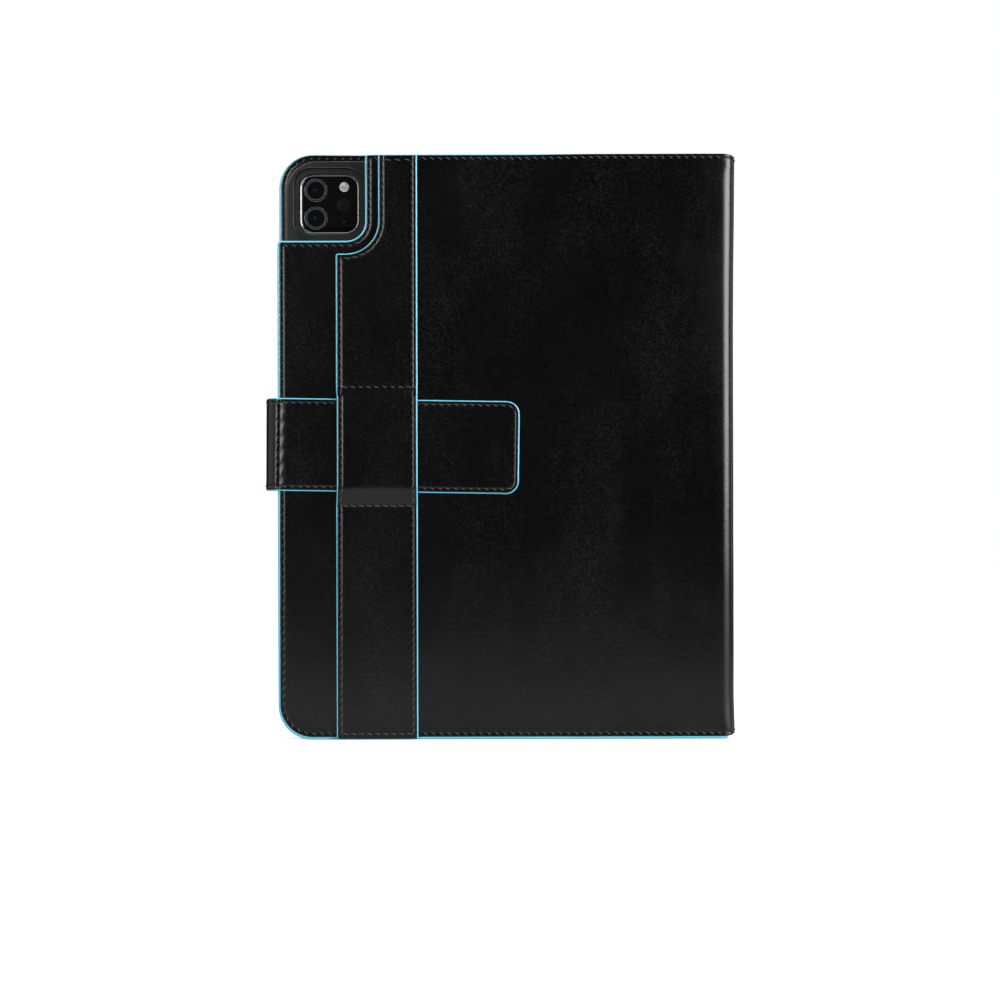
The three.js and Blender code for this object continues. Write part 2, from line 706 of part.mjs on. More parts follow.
function strapAssembly() {
  const group = new THREE.Group();
  group.add(
    piece('strap_anchor', strapAnchor(), leather()),
    piece('strap_wrap', strapWrap(), leather()),
    piece('strap_tab', tabLeather(), leather()),
    piece('strap_tab_backing', tabBacking(), paintedEdge()),
  );
  return group;
}

const group = new THREE.Group();
group.add(backAssembly(), tabletAssembly(), spineAssembly(), coverAssembly(), strapAssembly());

export default group;
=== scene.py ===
import math

import bmesh
import bpy
import numpy as np
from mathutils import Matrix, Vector
from mathutils.geometry import delaunay_2d_cdt

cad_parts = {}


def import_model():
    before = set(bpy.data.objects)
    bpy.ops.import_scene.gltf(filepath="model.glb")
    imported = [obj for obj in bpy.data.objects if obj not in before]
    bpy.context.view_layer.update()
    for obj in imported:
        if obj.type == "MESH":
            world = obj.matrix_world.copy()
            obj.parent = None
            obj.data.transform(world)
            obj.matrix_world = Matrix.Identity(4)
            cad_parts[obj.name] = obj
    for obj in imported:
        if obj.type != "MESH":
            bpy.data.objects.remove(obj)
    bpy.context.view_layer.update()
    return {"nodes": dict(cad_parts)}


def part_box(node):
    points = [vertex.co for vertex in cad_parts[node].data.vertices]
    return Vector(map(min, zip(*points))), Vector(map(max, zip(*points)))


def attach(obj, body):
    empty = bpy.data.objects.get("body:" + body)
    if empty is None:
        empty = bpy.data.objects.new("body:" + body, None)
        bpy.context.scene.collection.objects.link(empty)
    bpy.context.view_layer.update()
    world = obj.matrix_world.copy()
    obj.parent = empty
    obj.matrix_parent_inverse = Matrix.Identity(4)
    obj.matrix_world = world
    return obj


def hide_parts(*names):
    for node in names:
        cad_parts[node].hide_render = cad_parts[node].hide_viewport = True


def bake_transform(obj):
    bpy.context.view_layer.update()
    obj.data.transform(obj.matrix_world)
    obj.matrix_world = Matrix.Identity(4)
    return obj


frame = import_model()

# A leather tablet case, closed and standing on its bottom edge, seen from its back.
# Metres, +Z up: the back panel faces -Y, the front cover +Y, and the spine is on the +X side.

MM = 0.001

# ---- Places taken from the frame ----

BOARD_LOW, BOARD_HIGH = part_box("back_board")
BACK_LOW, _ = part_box("back_leather")
_, COVER_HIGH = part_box("cover_leather")
COVER_LINING_LOW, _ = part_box("cover_lining")
_, BACK_LINING_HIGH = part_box("back_lining")
_, SPINE_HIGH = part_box("spine_leather")
SPINE_LINING_LOW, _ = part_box("spine_lining")
BAND_LOW, BAND_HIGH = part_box("keeper_backing")
WRAP_LOW, WRAP_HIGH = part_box("strap_wrap")
_, TAB_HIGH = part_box("strap_tab_backing")
TAB_FACE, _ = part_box("strap_tab")
_, ANCHOR_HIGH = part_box("strap_anchor")
TRAY_LOW, TRAY_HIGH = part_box("tray_shell")
TABLET_LOW, TABLET_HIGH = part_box("tablet_housing")
GLASS_LOW, GLASS_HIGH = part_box("tablet_glass")
RIM_LOW, RIM_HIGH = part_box("camera_rim")
PLATE_LOW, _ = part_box("camera_plate")

LEFT = BOARD_LOW.x
RIGHT = SPINE_HIGH.x
BOTTOM = BOARD_LOW.z
TOP = BOARD_HIGH.z
BACK_FACE = BACK_LOW.y
COVER_FACE = COVER_HIGH.y
MIDDLE_Y = (BACK_FACE + COVER_FACE) / 2

# ---- Sizes that the frame doesn't give ----

FOLD_RADIUS = 6 * MM
STRAP_FOLD_RADIUS = 7 * MM
FORE_EDGE_RADIUS = 17 * MM
LEATHER = 1.4 * MM
PAINTED_EDGE = 0.8 * MM
PAINT_WIDER_BELOW = 0.45 * MM
PAINT_WIDER_LEFT = 0.2 * MM
PAINT_NARROWER_ABOVE = 0.4 * MM
SPINE_FLARE = 0.8 * MM
FLARE_START = 200 * MM
FLARE_LENGTH = 90 * MM
FLARE_END = 25 * MM
SPINE_ROUNDING = 1.3 * MM
SPINE_ROUNDING_LENGTH = 9 * MM
COVERED_PAINT = 0.38 * MM
COVERED_PAINT_START = 5 * MM
COVERED_PAINT_LENGTH = 40 * MM
COVER_RISE = 1.7 * MM
STRAP_PAINTED_EDGE = 0.55 * MM

NOTCH_X = -70.3 * MM
NOTCH_Z = 248 * MM
NOTCH_RADIUS = 9.5 * MM
NOTCH_END_RADIUS = 2 * MM
BAND_NOTCH_OFFSET = 6.6 * MM
BAND_CORNER = 1 * MM

LOOP_LOW = 116.4 * MM
LOOP_HIGH = 175.7 * MM
LOOP_RAMP_LOW = 8.4 * MM
LOOP_RAMP_HIGH = 6.4 * MM
RAMP_ROUNDING = 0.16
LOOP_CLEARANCE = 0.45 * MM
LOOP_PULL = 0.2
BAND_THICKNESS = 1.9 * MM
BAND_GAP = 0.1 * MM

STRAP_END_RADIUS = 6.5 * MM
WRAP_SEAM_X = -113.7 * MM
SEAM_ZONE = (-117 * MM, -108 * MM)
SEAM_ZONE_STEPS = 40
HOLE_PITCH = 3.9 * MM
STRAP_DROP = 0.0167
STRAP_THICKNESS = 2 * MM

TABLET_RADIUS = 13.4 * MM
CAMERA_RADIUS = 6.8 * MM
CAMERA_RIM = 0.75 * MM
MICROPHONE_X = 7.2 * MM
MICROPHONE_Z = -8.7 * MM

SEAM_INSET = 2.5 * MM
BAND_SEAM_INSET = 2.4 * MM
STRAP_SEAM_INSET = 2.3 * MM
SKIN_STITCH_LEVEL = -0.12 * MM
STITCH_PITCH = 3.93 * MM
STITCH_LENGTH = 2.7 * MM
THREAD_RADIUS = 0.3 * MM
STITCH_SLANT = math.radians(-36)
STRAP_STITCH = dict(pitch=3.85 * MM, length=2.5 * MM, slant=math.radians(-25))
BAND_STITCH = dict(pitch=3.8 * MM, length=3.5 * MM, slant=math.radians(-14))

OUTLINE_STEP = 2 * MM
PANEL_GRID = 4 * MM

FOLD_X = RIGHT - FOLD_RADIUS
HALF_SPINE = MIDDLE_Y - BACK_FACE - FOLD_RADIUS
SKIN_END = FOLD_X + FOLD_RADIUS * math.pi / 2 + HALF_SPINE

STRAP_OUTER_X = WRAP_LOW.x
STRAP_FOLD_X = STRAP_OUTER_X + STRAP_FOLD_RADIUS
STRAP_BACK_FACE = TAB_FACE.y
STRAP_COVER_FACE = ANCHOR_HIGH.y
STRAP_MIDDLE_Y = (STRAP_BACK_FACE + STRAP_COVER_FACE) / 2
HALF_WRAP = STRAP_MIDDLE_Y - STRAP_BACK_FACE - STRAP_FOLD_RADIUS
STRAP_MEET = STRAP_FOLD_X - STRAP_FOLD_RADIUS * math.pi / 2 - HALF_WRAP
STRAP_LOW = WRAP_LOW.z
STRAP_HEIGHT = WRAP_HIGH.z - WRAP_LOW.z
STRAP_END_X = TAB_HIGH.x
ANCHOR_END_X = ANCHOR_HIGH.x


# ---- Outlines in the flat sheet: s runs along X, t along Z ----


def run(start, end, step=OUTLINE_STEP, count=None):
    """Evenly spaced points from start up to, and without, end."""
    start, end = np.array(start, float), np.array(end, float)
    if count is None:
        count = max(1, round(float(np.linalg.norm(end - start)) / step))
    share = np.arange(count)[:, None] / count
    return start + (end - start) * share


def arc(centre, radius, start, end, count):
    """Points on an arc, in degrees, without its last point."""
    angle = np.radians(start + (end - start) * np.arange(count) / count)
    return np.array(centre) + radius * np.stack([np.cos(angle), np.sin(angle)], 1)


def smooth(value):
    """Eases from 0 to 1."""
    value = np.clip(value, 0, 1)
    return value * value * (3 - 2 * value)


def steps(length):
    """How many points a straight stretch gets."""
    return max(2, round(length / OUTLINE_STEP))


def panel_outline(right, notched):
    """An open outline, from the top right round the fore edge to the bottom right, at any inset."""
    height, width = TOP - BOTTOM, right - LEFT

    def at(inset):
        painted = min(inset / PAINTED_EDGE, 1)
        left = LEFT + inset + PAINT_WIDER_LEFT * painted
        low = BOTTOM + inset + PAINT_WIDER_BELOW * painted
        high = TOP - inset + PAINT_NARROWER_ABOVE * painted
        radius = FORE_EDGE_RADIUS - inset
        end = max(NOTCH_END_RADIUS - inset, 0.3 * MM)
        side, floor = NOTCH_X + inset, NOTCH_Z - inset
        centre = (NOTCH_X - NOTCH_RADIUS, NOTCH_Z + NOTCH_RADIUS)
        if notched:
            parts = [
                run((right, high), (side + end, high), count=steps(right - NOTCH_X)),
                arc((side + end, high - end), end, 90, 180, 5),
                run((side, high - end), (side, centre[1]), count=steps(TOP - centre[1])),
                arc(centre, NOTCH_RADIUS + inset, 0, -90, 14),
                run((centre[0], floor), (left + end, floor), count=steps(centre[0] - LEFT)),
                arc((left + end, floor - end), end, 90, 180, 5),
                run((left, floor - end), (left, low + radius), count=steps(NOTCH_Z - BOTTOM)),
            ]
        else:
            parts = [
                run((right, high), (left + radius, high), count=steps(width)),
                arc((left + radius, high - radius), radius, 90, 180, 18),
                run((left, high - radius), (left, low + radius), count=steps(height)),
            ]
        parts += [
            arc((left + radius, low + radius), radius, 180, 270, 18),
            run((left + radius, low), (right, low), count=steps(width)),
            np.array([[right, low]]),
        ]
        flat = spine_ends_rounded(np.concatenate(parts), painted)
        return flat if notched else askew(flat)

    return at


def spine_ends_rounded(flat, painted):
    """The leather's ends draw in a little where it turns round the spine, and near the spine
    the leather comes up over the painted edge at the top."""
    middle = (BOTTOM + TOP) / 2
    x, z = flat[:, 0], flat[:, 1]
    rise = SPINE_ROUNDING * smooth((x - FOLD_X - 1 * MM) / SPINE_ROUNDING_LENGTH)
    toward_spine = smooth((x - COVERED_PAINT_START) / COVERED_PAINT_LENGTH)
    covered = COVERED_PAINT * painted * toward_spine
    return np.stack([x, z + np.where(z < middle, rise, covered - rise)], 1)


def askew(flat):
    """The cover is closed a little askew: its free edge stands higher than the back's."""
    away = np.clip((FOLD_X - flat[:, 0]) / (FOLD_X - LEFT), 0, 1)
    return np.stack([flat[:, 0], flat[:, 1] + COVER_RISE * away], 1)


def band_outline():
    """The keeper band's closed outline: it steps round the camera notch at its top."""
    left0, right0 = BAND_LOW.x, BAND_HIGH.x
    low0, high0 = BAND_LOW.z, BAND_HIGH.z

    def at(inset):
        left, right, low, high = left0 + inset, right0 - inset, low0, high0
        offset = BAND_NOTCH_OFFSET + inset
        corner = max(BAND_CORNER - inset, 0.2 * MM)
        centre = (NOTCH_X - NOTCH_RADIUS, NOTCH_Z + NOTCH_RADIUS)
        side, floor = NOTCH_X + offset, NOTCH_Z - offset
        return np.concatenate([
            run((right, high), (side, high), count=12),
            run((side, high), (side, centre[1]), count=16),
            arc(centre, NOTCH_RADIUS + offset, 0, -90, 18),
            run((centre[0], floor), (left + corner, floor), count=3),
            arc((left + corner, floor - corner), corner, 90, 180, 5),
            run((left, floor - corner), (left, low), count=160),
            run((left, low), (right, low), count=20),
            run((right, low), (right, high), count=190),
        ])

    return at


def strap_low(x):
    """The height of the strap's lower edge: the tab drops a little towards its end."""
    return STRAP_LOW - STRAP_DROP * max(0.0, x - LEFT)


def strap_outline(end_x, radius0, drops):
    """An open outline of the strap, from the middle of its wrap to its end and back."""
    def low_at(x):
        return strap_low(x) if drops else STRAP_LOW

    def high_at(x):
        return low_at(x) + STRAP_HEIGHT

    def at(inset):
        right = end_x - inset
        radius = max(radius0 - inset, 0.5 * MM)
        along = [STRAP_MEET, SEAM_ZONE[0], SEAM_ZONE[1], right - radius]
        counts = [12, SEAM_ZONE_STEPS, steps(end_x - SEAM_ZONE[1])]
        rows = list(zip(along, along[1:], counts))
        lower = [run((a, low_at(a) + inset), (b, low_at(b) + inset), count=n) for a, b, n in rows]
        upper = [run((b, high_at(b) - inset), (a, high_at(a) - inset), count=n)
                 for a, b, n in reversed(rows)]
        return np.concatenate([
            *lower,
            arc((right - radius, low_at(right) + inset + radius), radius, -90, 0, 10),
            run((right, low_at(right) + inset + radius), (right, high_at(right) - inset - radius),
                count=18),
            arc((right - radius, high_at(right) - inset - radius), radius, 0, 90, 10),
            *upper,
            np.array([[STRAP_MEET, high_at(STRAP_MEET) - inset]]),
        ])

    return at


def rounded_box(left, right, low, high, radius0, corner=10, side=8):
    """A closed rounded rectangle at any inset."""

    def at(inset):
        a, b, c, d = left + inset, right - inset, low + inset, high - inset
        radius = max(radius0 - inset, 0.05 * MM)
        return np.concatenate([
            arc((b - radius, d - radius), radius, 0, 90, corner),
            run((b - radius, d), (a + radius, d), count=side),
            arc((a + radius, d - radius), radius, 90, 180, corner),
            run((a, d - radius), (a, c + radius), count=side),
            arc((a + radius, c + radius), radius, 180, 270, corner),
            run((a + radius, c), (b - radius, c), count=side),
            arc((b - radius, c + radius), radius, 270, 360, corner),
            run((b, c + radius), (b, d - radius), count=side),
        ])

    return at


# ---- From the flat sheet to its place ----


def bending(face_y, turn, fold_x, toward, radius):
    """A sheet whose outer face lies at face_y and which bends round the fold at fold_x.
    turn is +1 on the back, which faces -Y, and -1 on the cover; toward is the side in X."""

    def place(flat, height):
        s, t = flat[:, 0], flat[:, 1]
        past = toward * (s - fold_x)
        angle = np.clip(past / radius, 0, math.pi / 2)
        rest = np.maximum(past - radius * math.pi / 2, 0)
        x = np.where(past <= 0, s, fold_x + toward * radius * np.sin(angle))
        y = face_y + turn * (radius * (1 - np.cos(angle)) + rest)
        x = x + height * toward * np.sin(angle)
        y = y - height * turn * np.cos(angle)
        return np.stack([x, y, t], 1)

    return place


def band_lift(t):
    """How far the keeper band stands off the panel, over the strap."""
    lift = STRAP_THICKNESS + LOOP_CLEARANCE
    up = ramp((t - LOOP_LOW) / LOOP_RAMP_LOW)
    down = ramp((LOOP_HIGH - t) / LOOP_RAMP_HIGH)
    return lift * np.minimum(up, down)


def ramp(share):
    """Rises from 0 to 1 along a straight slope with rounded ends."""
    share, r = np.clip(share, 0, 1), RAMP_ROUNDING
    start = share**2 / (2 * r)
    end = 1 - r - (1 - share)**2 / (2 * r)
    line = share - r / 2
    return np.where(share < r, start, np.where(share > 1 - r, end, line)) / (1 - r)


def band_place(flat, height):
    """The band lifts over the strap, which pulls the loop's left side in a little."""
    s, t = flat[:, 0], flat[:, 1]
    small = 0.05 * MM
    slope = (band_lift(t + small) - band_lift(t - small)) / (2 * small)
    length = np.sqrt(1 + slope**2)
    y = BACK_FACE - BAND_GAP - BAND_THICKNESS - band_lift(t) - height / length
    z = t - height * slope / length
    toward_right = smooth((BAND_HIGH.x - s) / (BAND_HIGH.x - BAND_LOW.x))
    x = s + LOOP_PULL * band_lift(t) * toward_right
    return np.stack([x, y, z], 1)


def flat_at(face_y, turn):
    """A flat sheet: height goes outward, to -Y where turn is +1."""

    def place(flat, height):
        y = face_y - turn * height
        return np.stack([flat[:, 0], np.broadcast_to(y, flat[:, 0].shape), flat[:, 1]], 1)

    return place


# ---- Meshes ----


def make_object(name, points, faces, material, sharp=40):
    mesh = bpy.data.meshes.new(name)
    mesh.from_pydata([tuple(p) for p in points], [], [tuple(int(i) for i in f) for f in faces])
    mesh.validate()
    outward(mesh)
    mesh.shade_smooth()
    mesh.set_sharp_from_angle(angle=math.radians(sharp))
    mesh.materials.append(material)
    obj = bpy.data.objects.new(name, mesh)
    bpy.context.scene.collection.objects.link(obj)
    return obj


def outward(mesh):
    """Turns every face of a closed mesh outward."""
    bm = bmesh.new()
    bm.from_mesh(mesh)
    bmesh.ops.recalc_face_normals(bm, faces=bm.faces)
    bm.to_mesh(mesh)
    bm.free()


def inside(points, loop):
    """Which points lie inside a closed loop, and how far each is from it."""
    a, b = loop, np.roll(loop, -1, 0)
    px, py = points[:, 0][:, None], points[:, 1][:, None]
    crosses = (a[:, 1] > py) != (b[:, 1] > py)
    rise = np.where(b[:, 1] == a[:, 1], 1e-12, b[:, 1] - a[:, 1])
    hit = px < (b[:, 0] - a[:, 0]) * (py - a[:, 1]) / rise + a[:, 0]
    within = (crosses & hit).sum(1) % 2 == 1
    edge = b - a
    length = np.maximum((edge**2).sum(1), 1e-18)
    share = ((px - a[:, 0]) * edge[:, 0] + (py - a[:, 1]) * edge[:, 1]) / length
    share = np.clip(share, 0, 1)
    gap = np.hypot(px - a[:, 0] - share * edge[:, 0], py - a[:, 1] - share * edge[:, 1])
    return within, gap.min(1)


def grid_points(low, high, spacing):
    """The points of a rectangular grid."""
    xs = np.arange(low[0] + spacing[0] / 2, high[0], spacing[0])
    ys = np.arange(low[1] + spacing[1] / 2, high[1], spacing[1])
    return np.stack(np.meshgrid(xs, ys), -1).reshape(-1, 2)


def fill(flat, loop, spacing, fine=None):
    """Grid points inside the loop, and the triangles that join them to it. fine is a finer
    grid's (low x, high x, spacing) for one stretch."""
    boundary = flat[loop]
    low, high = boundary.min(0), boundary.max(0)
    grid = grid_points(low, high, (spacing, spacing))
    within, gap = inside(grid, boundary)
    grid = grid[within & (gap > spacing * 0.45)]
    if fine is not None:
        start, end, step = fine
        grid = grid[(grid[:, 0] < start - step[0]) | (grid[:, 0] > end + step[0])]
        extra = grid_points((start, low[1]), (end, high[1]), step)
        within, gap = inside(extra, boundary)
        grid = np.concatenate([grid, extra[within & (gap > min(step) * 0.6)]])
    points = [Vector(p) for p in np.concatenate([boundary, grid]) / MM]
    edge_count = len(boundary)
    result = delaunay_2d_cdt(points, [], [list(range(edge_count))], 1, 1e-7)
    source = [ids[0] for ids in result[3]]
    start = len(flat)
    index = [loop[i] if i < edge_count else start + i - edge_count for i in source]
    return grid, [[index[v] for v in face] for face in result[2]]


def quads(first, second, count, closed=True):
    """Faces between two rows of count points, which start at first and at second."""
    span = count if closed else count - 1
    pairs = [(j, (j + 1) % count) for j in range(span)]
    return [[first + j, first + n, second + n, second + j] for j, n in pairs]


def sheet_piece(name, outline, profile, place, thickness, material,
                closed=False, spacing=PANEL_GRID, relief=None, sharp=40, fine=None):
    """A sheet with a shaped edge. profile lists (inset, drop) from the edge inward."""
    rings = [outline(inset) for inset, _ in profile]
    count = len(rings[0])
    flat = np.concatenate(rings)
    drop = np.repeat([d for _, d in profile], count)
    faces = []
    for k in range(len(rings) - 1):
        faces += quads(k * count, (k + 1) * count, count, closed)
    last = (len(rings) - 1) * count
    loop = list(range(last, last + count))
    if not closed:
        side = run(flat[last + count - 1], flat[last], step=spacing)[1:]
        loop += list(range(len(flat), len(flat) + len(side)))
        flat = np.concatenate([flat, side])
        drop = np.concatenate([drop, np.full(len(side), profile[-1][1])])
    grid, inner = fill(flat, loop, spacing, fine)
    flat = np.concatenate([flat, grid])
    drop = np.concatenate([drop, np.full(len(grid), profile[-1][1])])
    faces += inner
    height = -drop
    if relief is not None:
        height = height + relief(flat)
    top = place(flat, height)
    bottom = place(flat, np.clip(height, -0.7 * MM, 0) - thickness)
    total = len(flat)
    directed = {(f[i], f[(i + 1) % len(f)]) for f in faces for i in range(len(f))}
    walls = [[b, a, a + total, b + total] for a, b in directed if (b, a) not in directed]
    under = [[i + total for i in reversed(f)] for f in faces]
    return make_object(name, np.concatenate([top, bottom]), faces + sorted(walls) + under,
                       material, sharp)


def sweep_piece(name, outline, section, place, material, closed=False, sharp=40):
    """A closed section of (inset, height) points carried along an outline."""
    rings = [place(outline(inset), np.full(len(outline(0)), height)) for inset, height in section]
    count, size = len(rings[0]), len(rings)
    points = np.concatenate(rings)
    faces = []
    for k in range(size):
        faces += quads(k * count, (k + 1) % size * count, count, closed)
    if not closed:
        faces.append([k * count for k in range(size)])
        faces.append([k * count + count - 1 for k in reversed(range(size))])
    return make_object(name, points, faces, material, sharp)


def resample(path, pitch):
    """Points and directions at every pitch along a path."""
    step = np.linalg.norm(np.diff(path, axis=0), axis=1)
    keep = np.concatenate([[True], step > 1e-9])
    path = path[keep]
    along = np.concatenate([[0], np.cumsum(np.linalg.norm(np.diff(path, axis=0), axis=1))])
    count = int(along[-1] / pitch)
    at = (np.arange(count) + 0.5) * along[-1] / count

    def point(distance):
        return np.stack([np.interp(distance, along, path[:, i]) for i in (0, 1)], 1)

    tangent = point(at + 0.3 * MM) - point(at - 0.3 * MM)
    return point(at), tangent / np.linalg.norm(tangent, axis=1)[:, None]


def stitch_piece(name, paths, place, material, level=0.0, slant=STITCH_SLANT,
                 length=STITCH_LENGTH, pitch=STITCH_PITCH, radius=THREAD_RADIUS):
    """Slanted stitches along every path, each with its ends pulled into the leather."""
    stations = np.array([-1, -0.86, -0.5, 0, 0.5, 0.86, 1])
    girth = np.array([0.35, 0.8, 1, 1.05, 1, 0.8, 0.35])
    rise = np.array([-1.5, -0.6, 0.35, 0.7, 0.35, -0.6, -1.5]) * radius
    sides = 8
    theta = np.arange(sides) * 2 * math.pi / sides
    points, faces = [], []
    start = 0
    cos, sin = math.cos(slant), math.sin(slant)
    for path in paths:
        centre, tangent = resample(path, pitch)
        axis = np.stack([tangent[:, 0] * cos - tangent[:, 1] * sin,
                         tangent[:, 0] * sin + tangent[:, 1] * cos], 1)
        lateral = np.stack([-axis[:, 1], axis[:, 0]], 1)
        for c, a, l in zip(centre, axis, lateral):
            ring_flat = (c + a * (stations[:, None, None] * length / 2)
                         + l * (girth[:, None] * radius * np.cos(theta))[..., None])
            ring_height = level + rise[:, None] + girth[:, None] * radius * np.sin(theta)
            points.append(place(ring_flat.reshape(-1, 2), ring_height.reshape(-1)))
            for k in range(len(stations) - 1):
                faces += quads(start + k * sides, start + (k + 1) * sides, sides)
            faces.append([start + j for j in reversed(range(sides))])
            faces.append([start + (len(stations) - 1) * sides + j for j in range(sides)])
            start += len(stations) * sides
    return make_object(name, np.concatenate(points), faces, material, sharp=70)


def lathe_piece(name, x, z, profile, material, segments=48, sharp=35):
    """A closed profile of (radius, y) points turned about the line through (x, z) along Y."""
    angle = np.arange(segments) * 2 * math.pi / segments
    points, rows = [], []
    for radius, y in profile:
        if radius <= 0:
            rows.append([len(points)])
            points.append((x, y, z))
            continue
        rows.append(list(range(len(points), len(points) + segments)))
        points += [(x + radius * math.cos(a), y, z + radius * math.sin(a)) for a in angle]
    faces = []
    closed = profile[0][0] > 0
    pairs = list(zip(rows, rows[1:]))
    if closed:
        pairs.append((rows[-1], rows[0]))
    for low, high in pairs:
        for j in range(segments):
            n = (j + 1) % segments
            if len(low) == 1:
                faces.append([low[0], high[n], high[j]])
            elif len(high) == 1:
                faces.append([low[j], low[n], high[0]])
            else:
                faces.append([low[j], low[n], high[n], high[j]])
    return make_object(name, points, faces, material, sharp)


def stack_piece(name, rings, material, sharp=40):
    """Closed loops of equal length joined one after another, with a flat cap at both ends."""
    count = len(rings[0])
    faces = []
    for k in range(len(rings) - 1):
        faces += quads(k * count, (k + 1) * count, count)
    faces.append(list(reversed(range(count))))
    faces.append([(len(rings) - 1) * count + j for j in range(count)])
    return make_object(name, np.concatenate(rings), faces, material, sharp)


def cut(obj, cutters):
    """Cuts each cutter out of obj and removes it."""
    for cutter in cutters:
        modifier = obj.modifiers.new("cut", "BOOLEAN")
        modifier.operation = "DIFFERENCE"
        modifier.solver = "EXACT"
        modifier.object = cutter
    graph = bpy.context.evaluated_depsgraph_get()
    mesh = bpy.data.meshes.new_from_object(obj.evaluated_get(graph))
    obj.modifiers.clear()
    obj.data = mesh
    mesh.shade_smooth()
    mesh.set_sharp_from_angle(angle=math.radians(30))
    for cutter in cutters:
        bpy.data.objects.remove(cutter)
    return obj


def prism(name, outline_points, y_low, y_high, material):
    """An outline carried straight along Y."""
    low = np.insert(outline_points, 1, y_low, axis=1)
    high = np.insert(outline_points, 1, y_high, axis=1)
    return stack_piece(name, [low, high], material)


# ---- Materials ----

FLOOR_GLOW = 0.6
FLOOR_NEAR = 0.35
FLOOR_FAR = 0.9
FLOOR_GAP = 0.05 * MM
WORLD_LIGHT = 0.05


class Nodes:
    """A small helper that builds a material's node tree."""

    def __init__(self, name):
        self.material = bpy.data.materials.new(name)
        self.material.use_nodes = True
        self.tree = self.material.node_tree
        self.shader = self.tree.nodes["Principled BSDF"]
        self.where = self.tree.nodes.new("ShaderNodeTexCoord").outputs["Object"]

    def add(self, kind, inputs=(), **settings):
        node = self.tree.nodes.new("ShaderNode" + kind)
        for key, value in settings.items():
            setattr(node, key, value)
        for key, value in dict(inputs).items():
            if isinstance(value, bpy.types.NodeSocket):
                self.tree.links.new(value, node.inputs[key])
            else:
                node.inputs[key].default_value = value
        return node

    def noise(self, scale, detail=4, roughness=0.55, vector=None):
        inputs = {"Vector": vector or self.where, "Scale": scale, "Detail": detail,
                  "Roughness": roughness}
        return self.add("TexNoise", inputs).outputs["Fac"]

    def cells(self, scale, feature="F1", vector=None, randomness=1.0):
        inputs = {"Vector": vector or self.where, "Scale": scale, "Randomness": randomness}
        node = self.add("TexVoronoi", inputs, feature=feature)
        return node.outputs["Distance"]

    def remap(self, value, low, high, to_low, to_high):
        node = self.add("MapRange", {"Value": value, "From Min": low, "From Max": high,
                                     "To Min": to_low, "To Max": to_high})
        return node.outputs["Result"]

    def math(self, operation, a, b):
        return self.add("Math", {0: a, 1: b}, operation=operation).outputs[0]

    def colours(self, value, low, high):
        node = self.add("Mix", {"Factor": value}, data_type="RGBA")
        node.inputs["A"].default_value = (*low, 1)
        node.inputs["B"].default_value = (*high, 1)
        return node.outputs["Result"]

    def stretched(self, x, y, z, turn=0.0):
        inputs = {"Vector": self.where, "Scale": (x, y, z), "Rotation": (0, turn, 0)}
        return self.add("Mapping", inputs).outputs["Vector"]

    def bump(self, height, distance, strength=1.0, below=None):
        inputs = {"Height": height, "Distance": distance, "Strength": strength}
        if below is not None:
            inputs["Normal"] = below
        return self.add("Bump", inputs).outputs["Normal"]

    def link(self, socket, output):
        self.tree.links.new(output, self.shader.inputs[socket])

    def set(self, **values):
        for key, value in values.items():
            self.shader.inputs[key.replace("_", " ")].default_value = value


def speckled(name, scale, detail, low, high, gloss, strength, depth=0.01 * MM, **shader):
    """A material whose colour, roughness and bumps all follow one fine noise."""
    n = Nodes(name)
    fine = n.noise(scale, detail=detail)
    n.link("Base Color", n.colours(fine, low, high))
    n.link("Roughness", n.remap(fine, 0.3, 0.7, *gloss))
    n.link("Normal", n.bump(fine, depth, strength))
    n.set(**shader)
    return n.material


def black_leather():
    """Smooth satin calf: fine pores, patches of pebble grain, a few long creases, and rubbed
    patches that are a little rougher and painted lighter as a painted sheen.
    """
    n = Nodes("black_leather")
    clouds = n.noise(14, detail=5, roughness=0.6)
    fine = n.noise(900, detail=3)
    mottle = n.noise(950, detail=3, roughness=0.8)
    patches = n.remap(n.noise(26, detail=4, roughness=0.6, vector=n.stretched(1, 1, 0.5, 0.75)),
                      0.44, 0.66, 0.25, 1.0)
    # Rubbed patches: a little rougher, and lighter in colour as a painted sheen that stands for the
    # lamps' reflections.
    rubbing_and_painted_sheen = n.remap(n.noise(11, detail=7, roughness=0.72, vector=n.stretched(1, 1, 0.45, 0.6)),
                     0.56, 0.74, 0.0, 1.0)
    specks = n.math("MULTIPLY", n.remap(mottle, 0.46, 0.68, 0.0, 1.6), patches)
    # Base colour: the grain's random speckle plus the painted sheen of the rubbed patches.
    speckle_and_painted_sheen = n.math("ADD", specks, n.math("MULTIPLY", rubbing_and_painted_sheen, 0.6))
    n.link("Base Color", n.colours(speckle_and_painted_sheen, (0.0001, 0.0001, 0.0001), (0.0064, 0.0063, 0.0062)))
    gloss = n.remap(clouds, 0.3, 0.7, 0.19, 0.25)
    n.link("Roughness", n.math("ADD", gloss, n.math("MULTIPLY", rubbing_and_painted_sheen, 0.05)))
    grain = n.cells(1500, feature="F1")
    pores = n.cells(620, feature="SMOOTH_F1")
    creases = n.noise(9, detail=6, roughness=0.7, vector=n.stretched(1, 1, 0.35, 0.5))
    ridge = n.remap(n.math("ABSOLUTE", n.math("SUBTRACT", creases, 0.5), 0.0), 0.0, 0.035, 0.0, 1.0)
    normal = n.bump(ridge, 0.03 * MM, 0.2)
    normal = n.bump(n.noise(520, detail=4, roughness=0.7), 0.05 * MM, 0.7, normal)
    normal = n.bump(grain, 0.02 * MM, 0.3, normal)
    normal = n.bump(pores, 0.02 * MM, 0.2, normal)
    normal = n.bump(fine, 0.012 * MM, 0.25, normal)
    n.link("Normal", normal)
    n.set(Specular_IOR_Level=0.45, IOR=1.45)
    return n.material


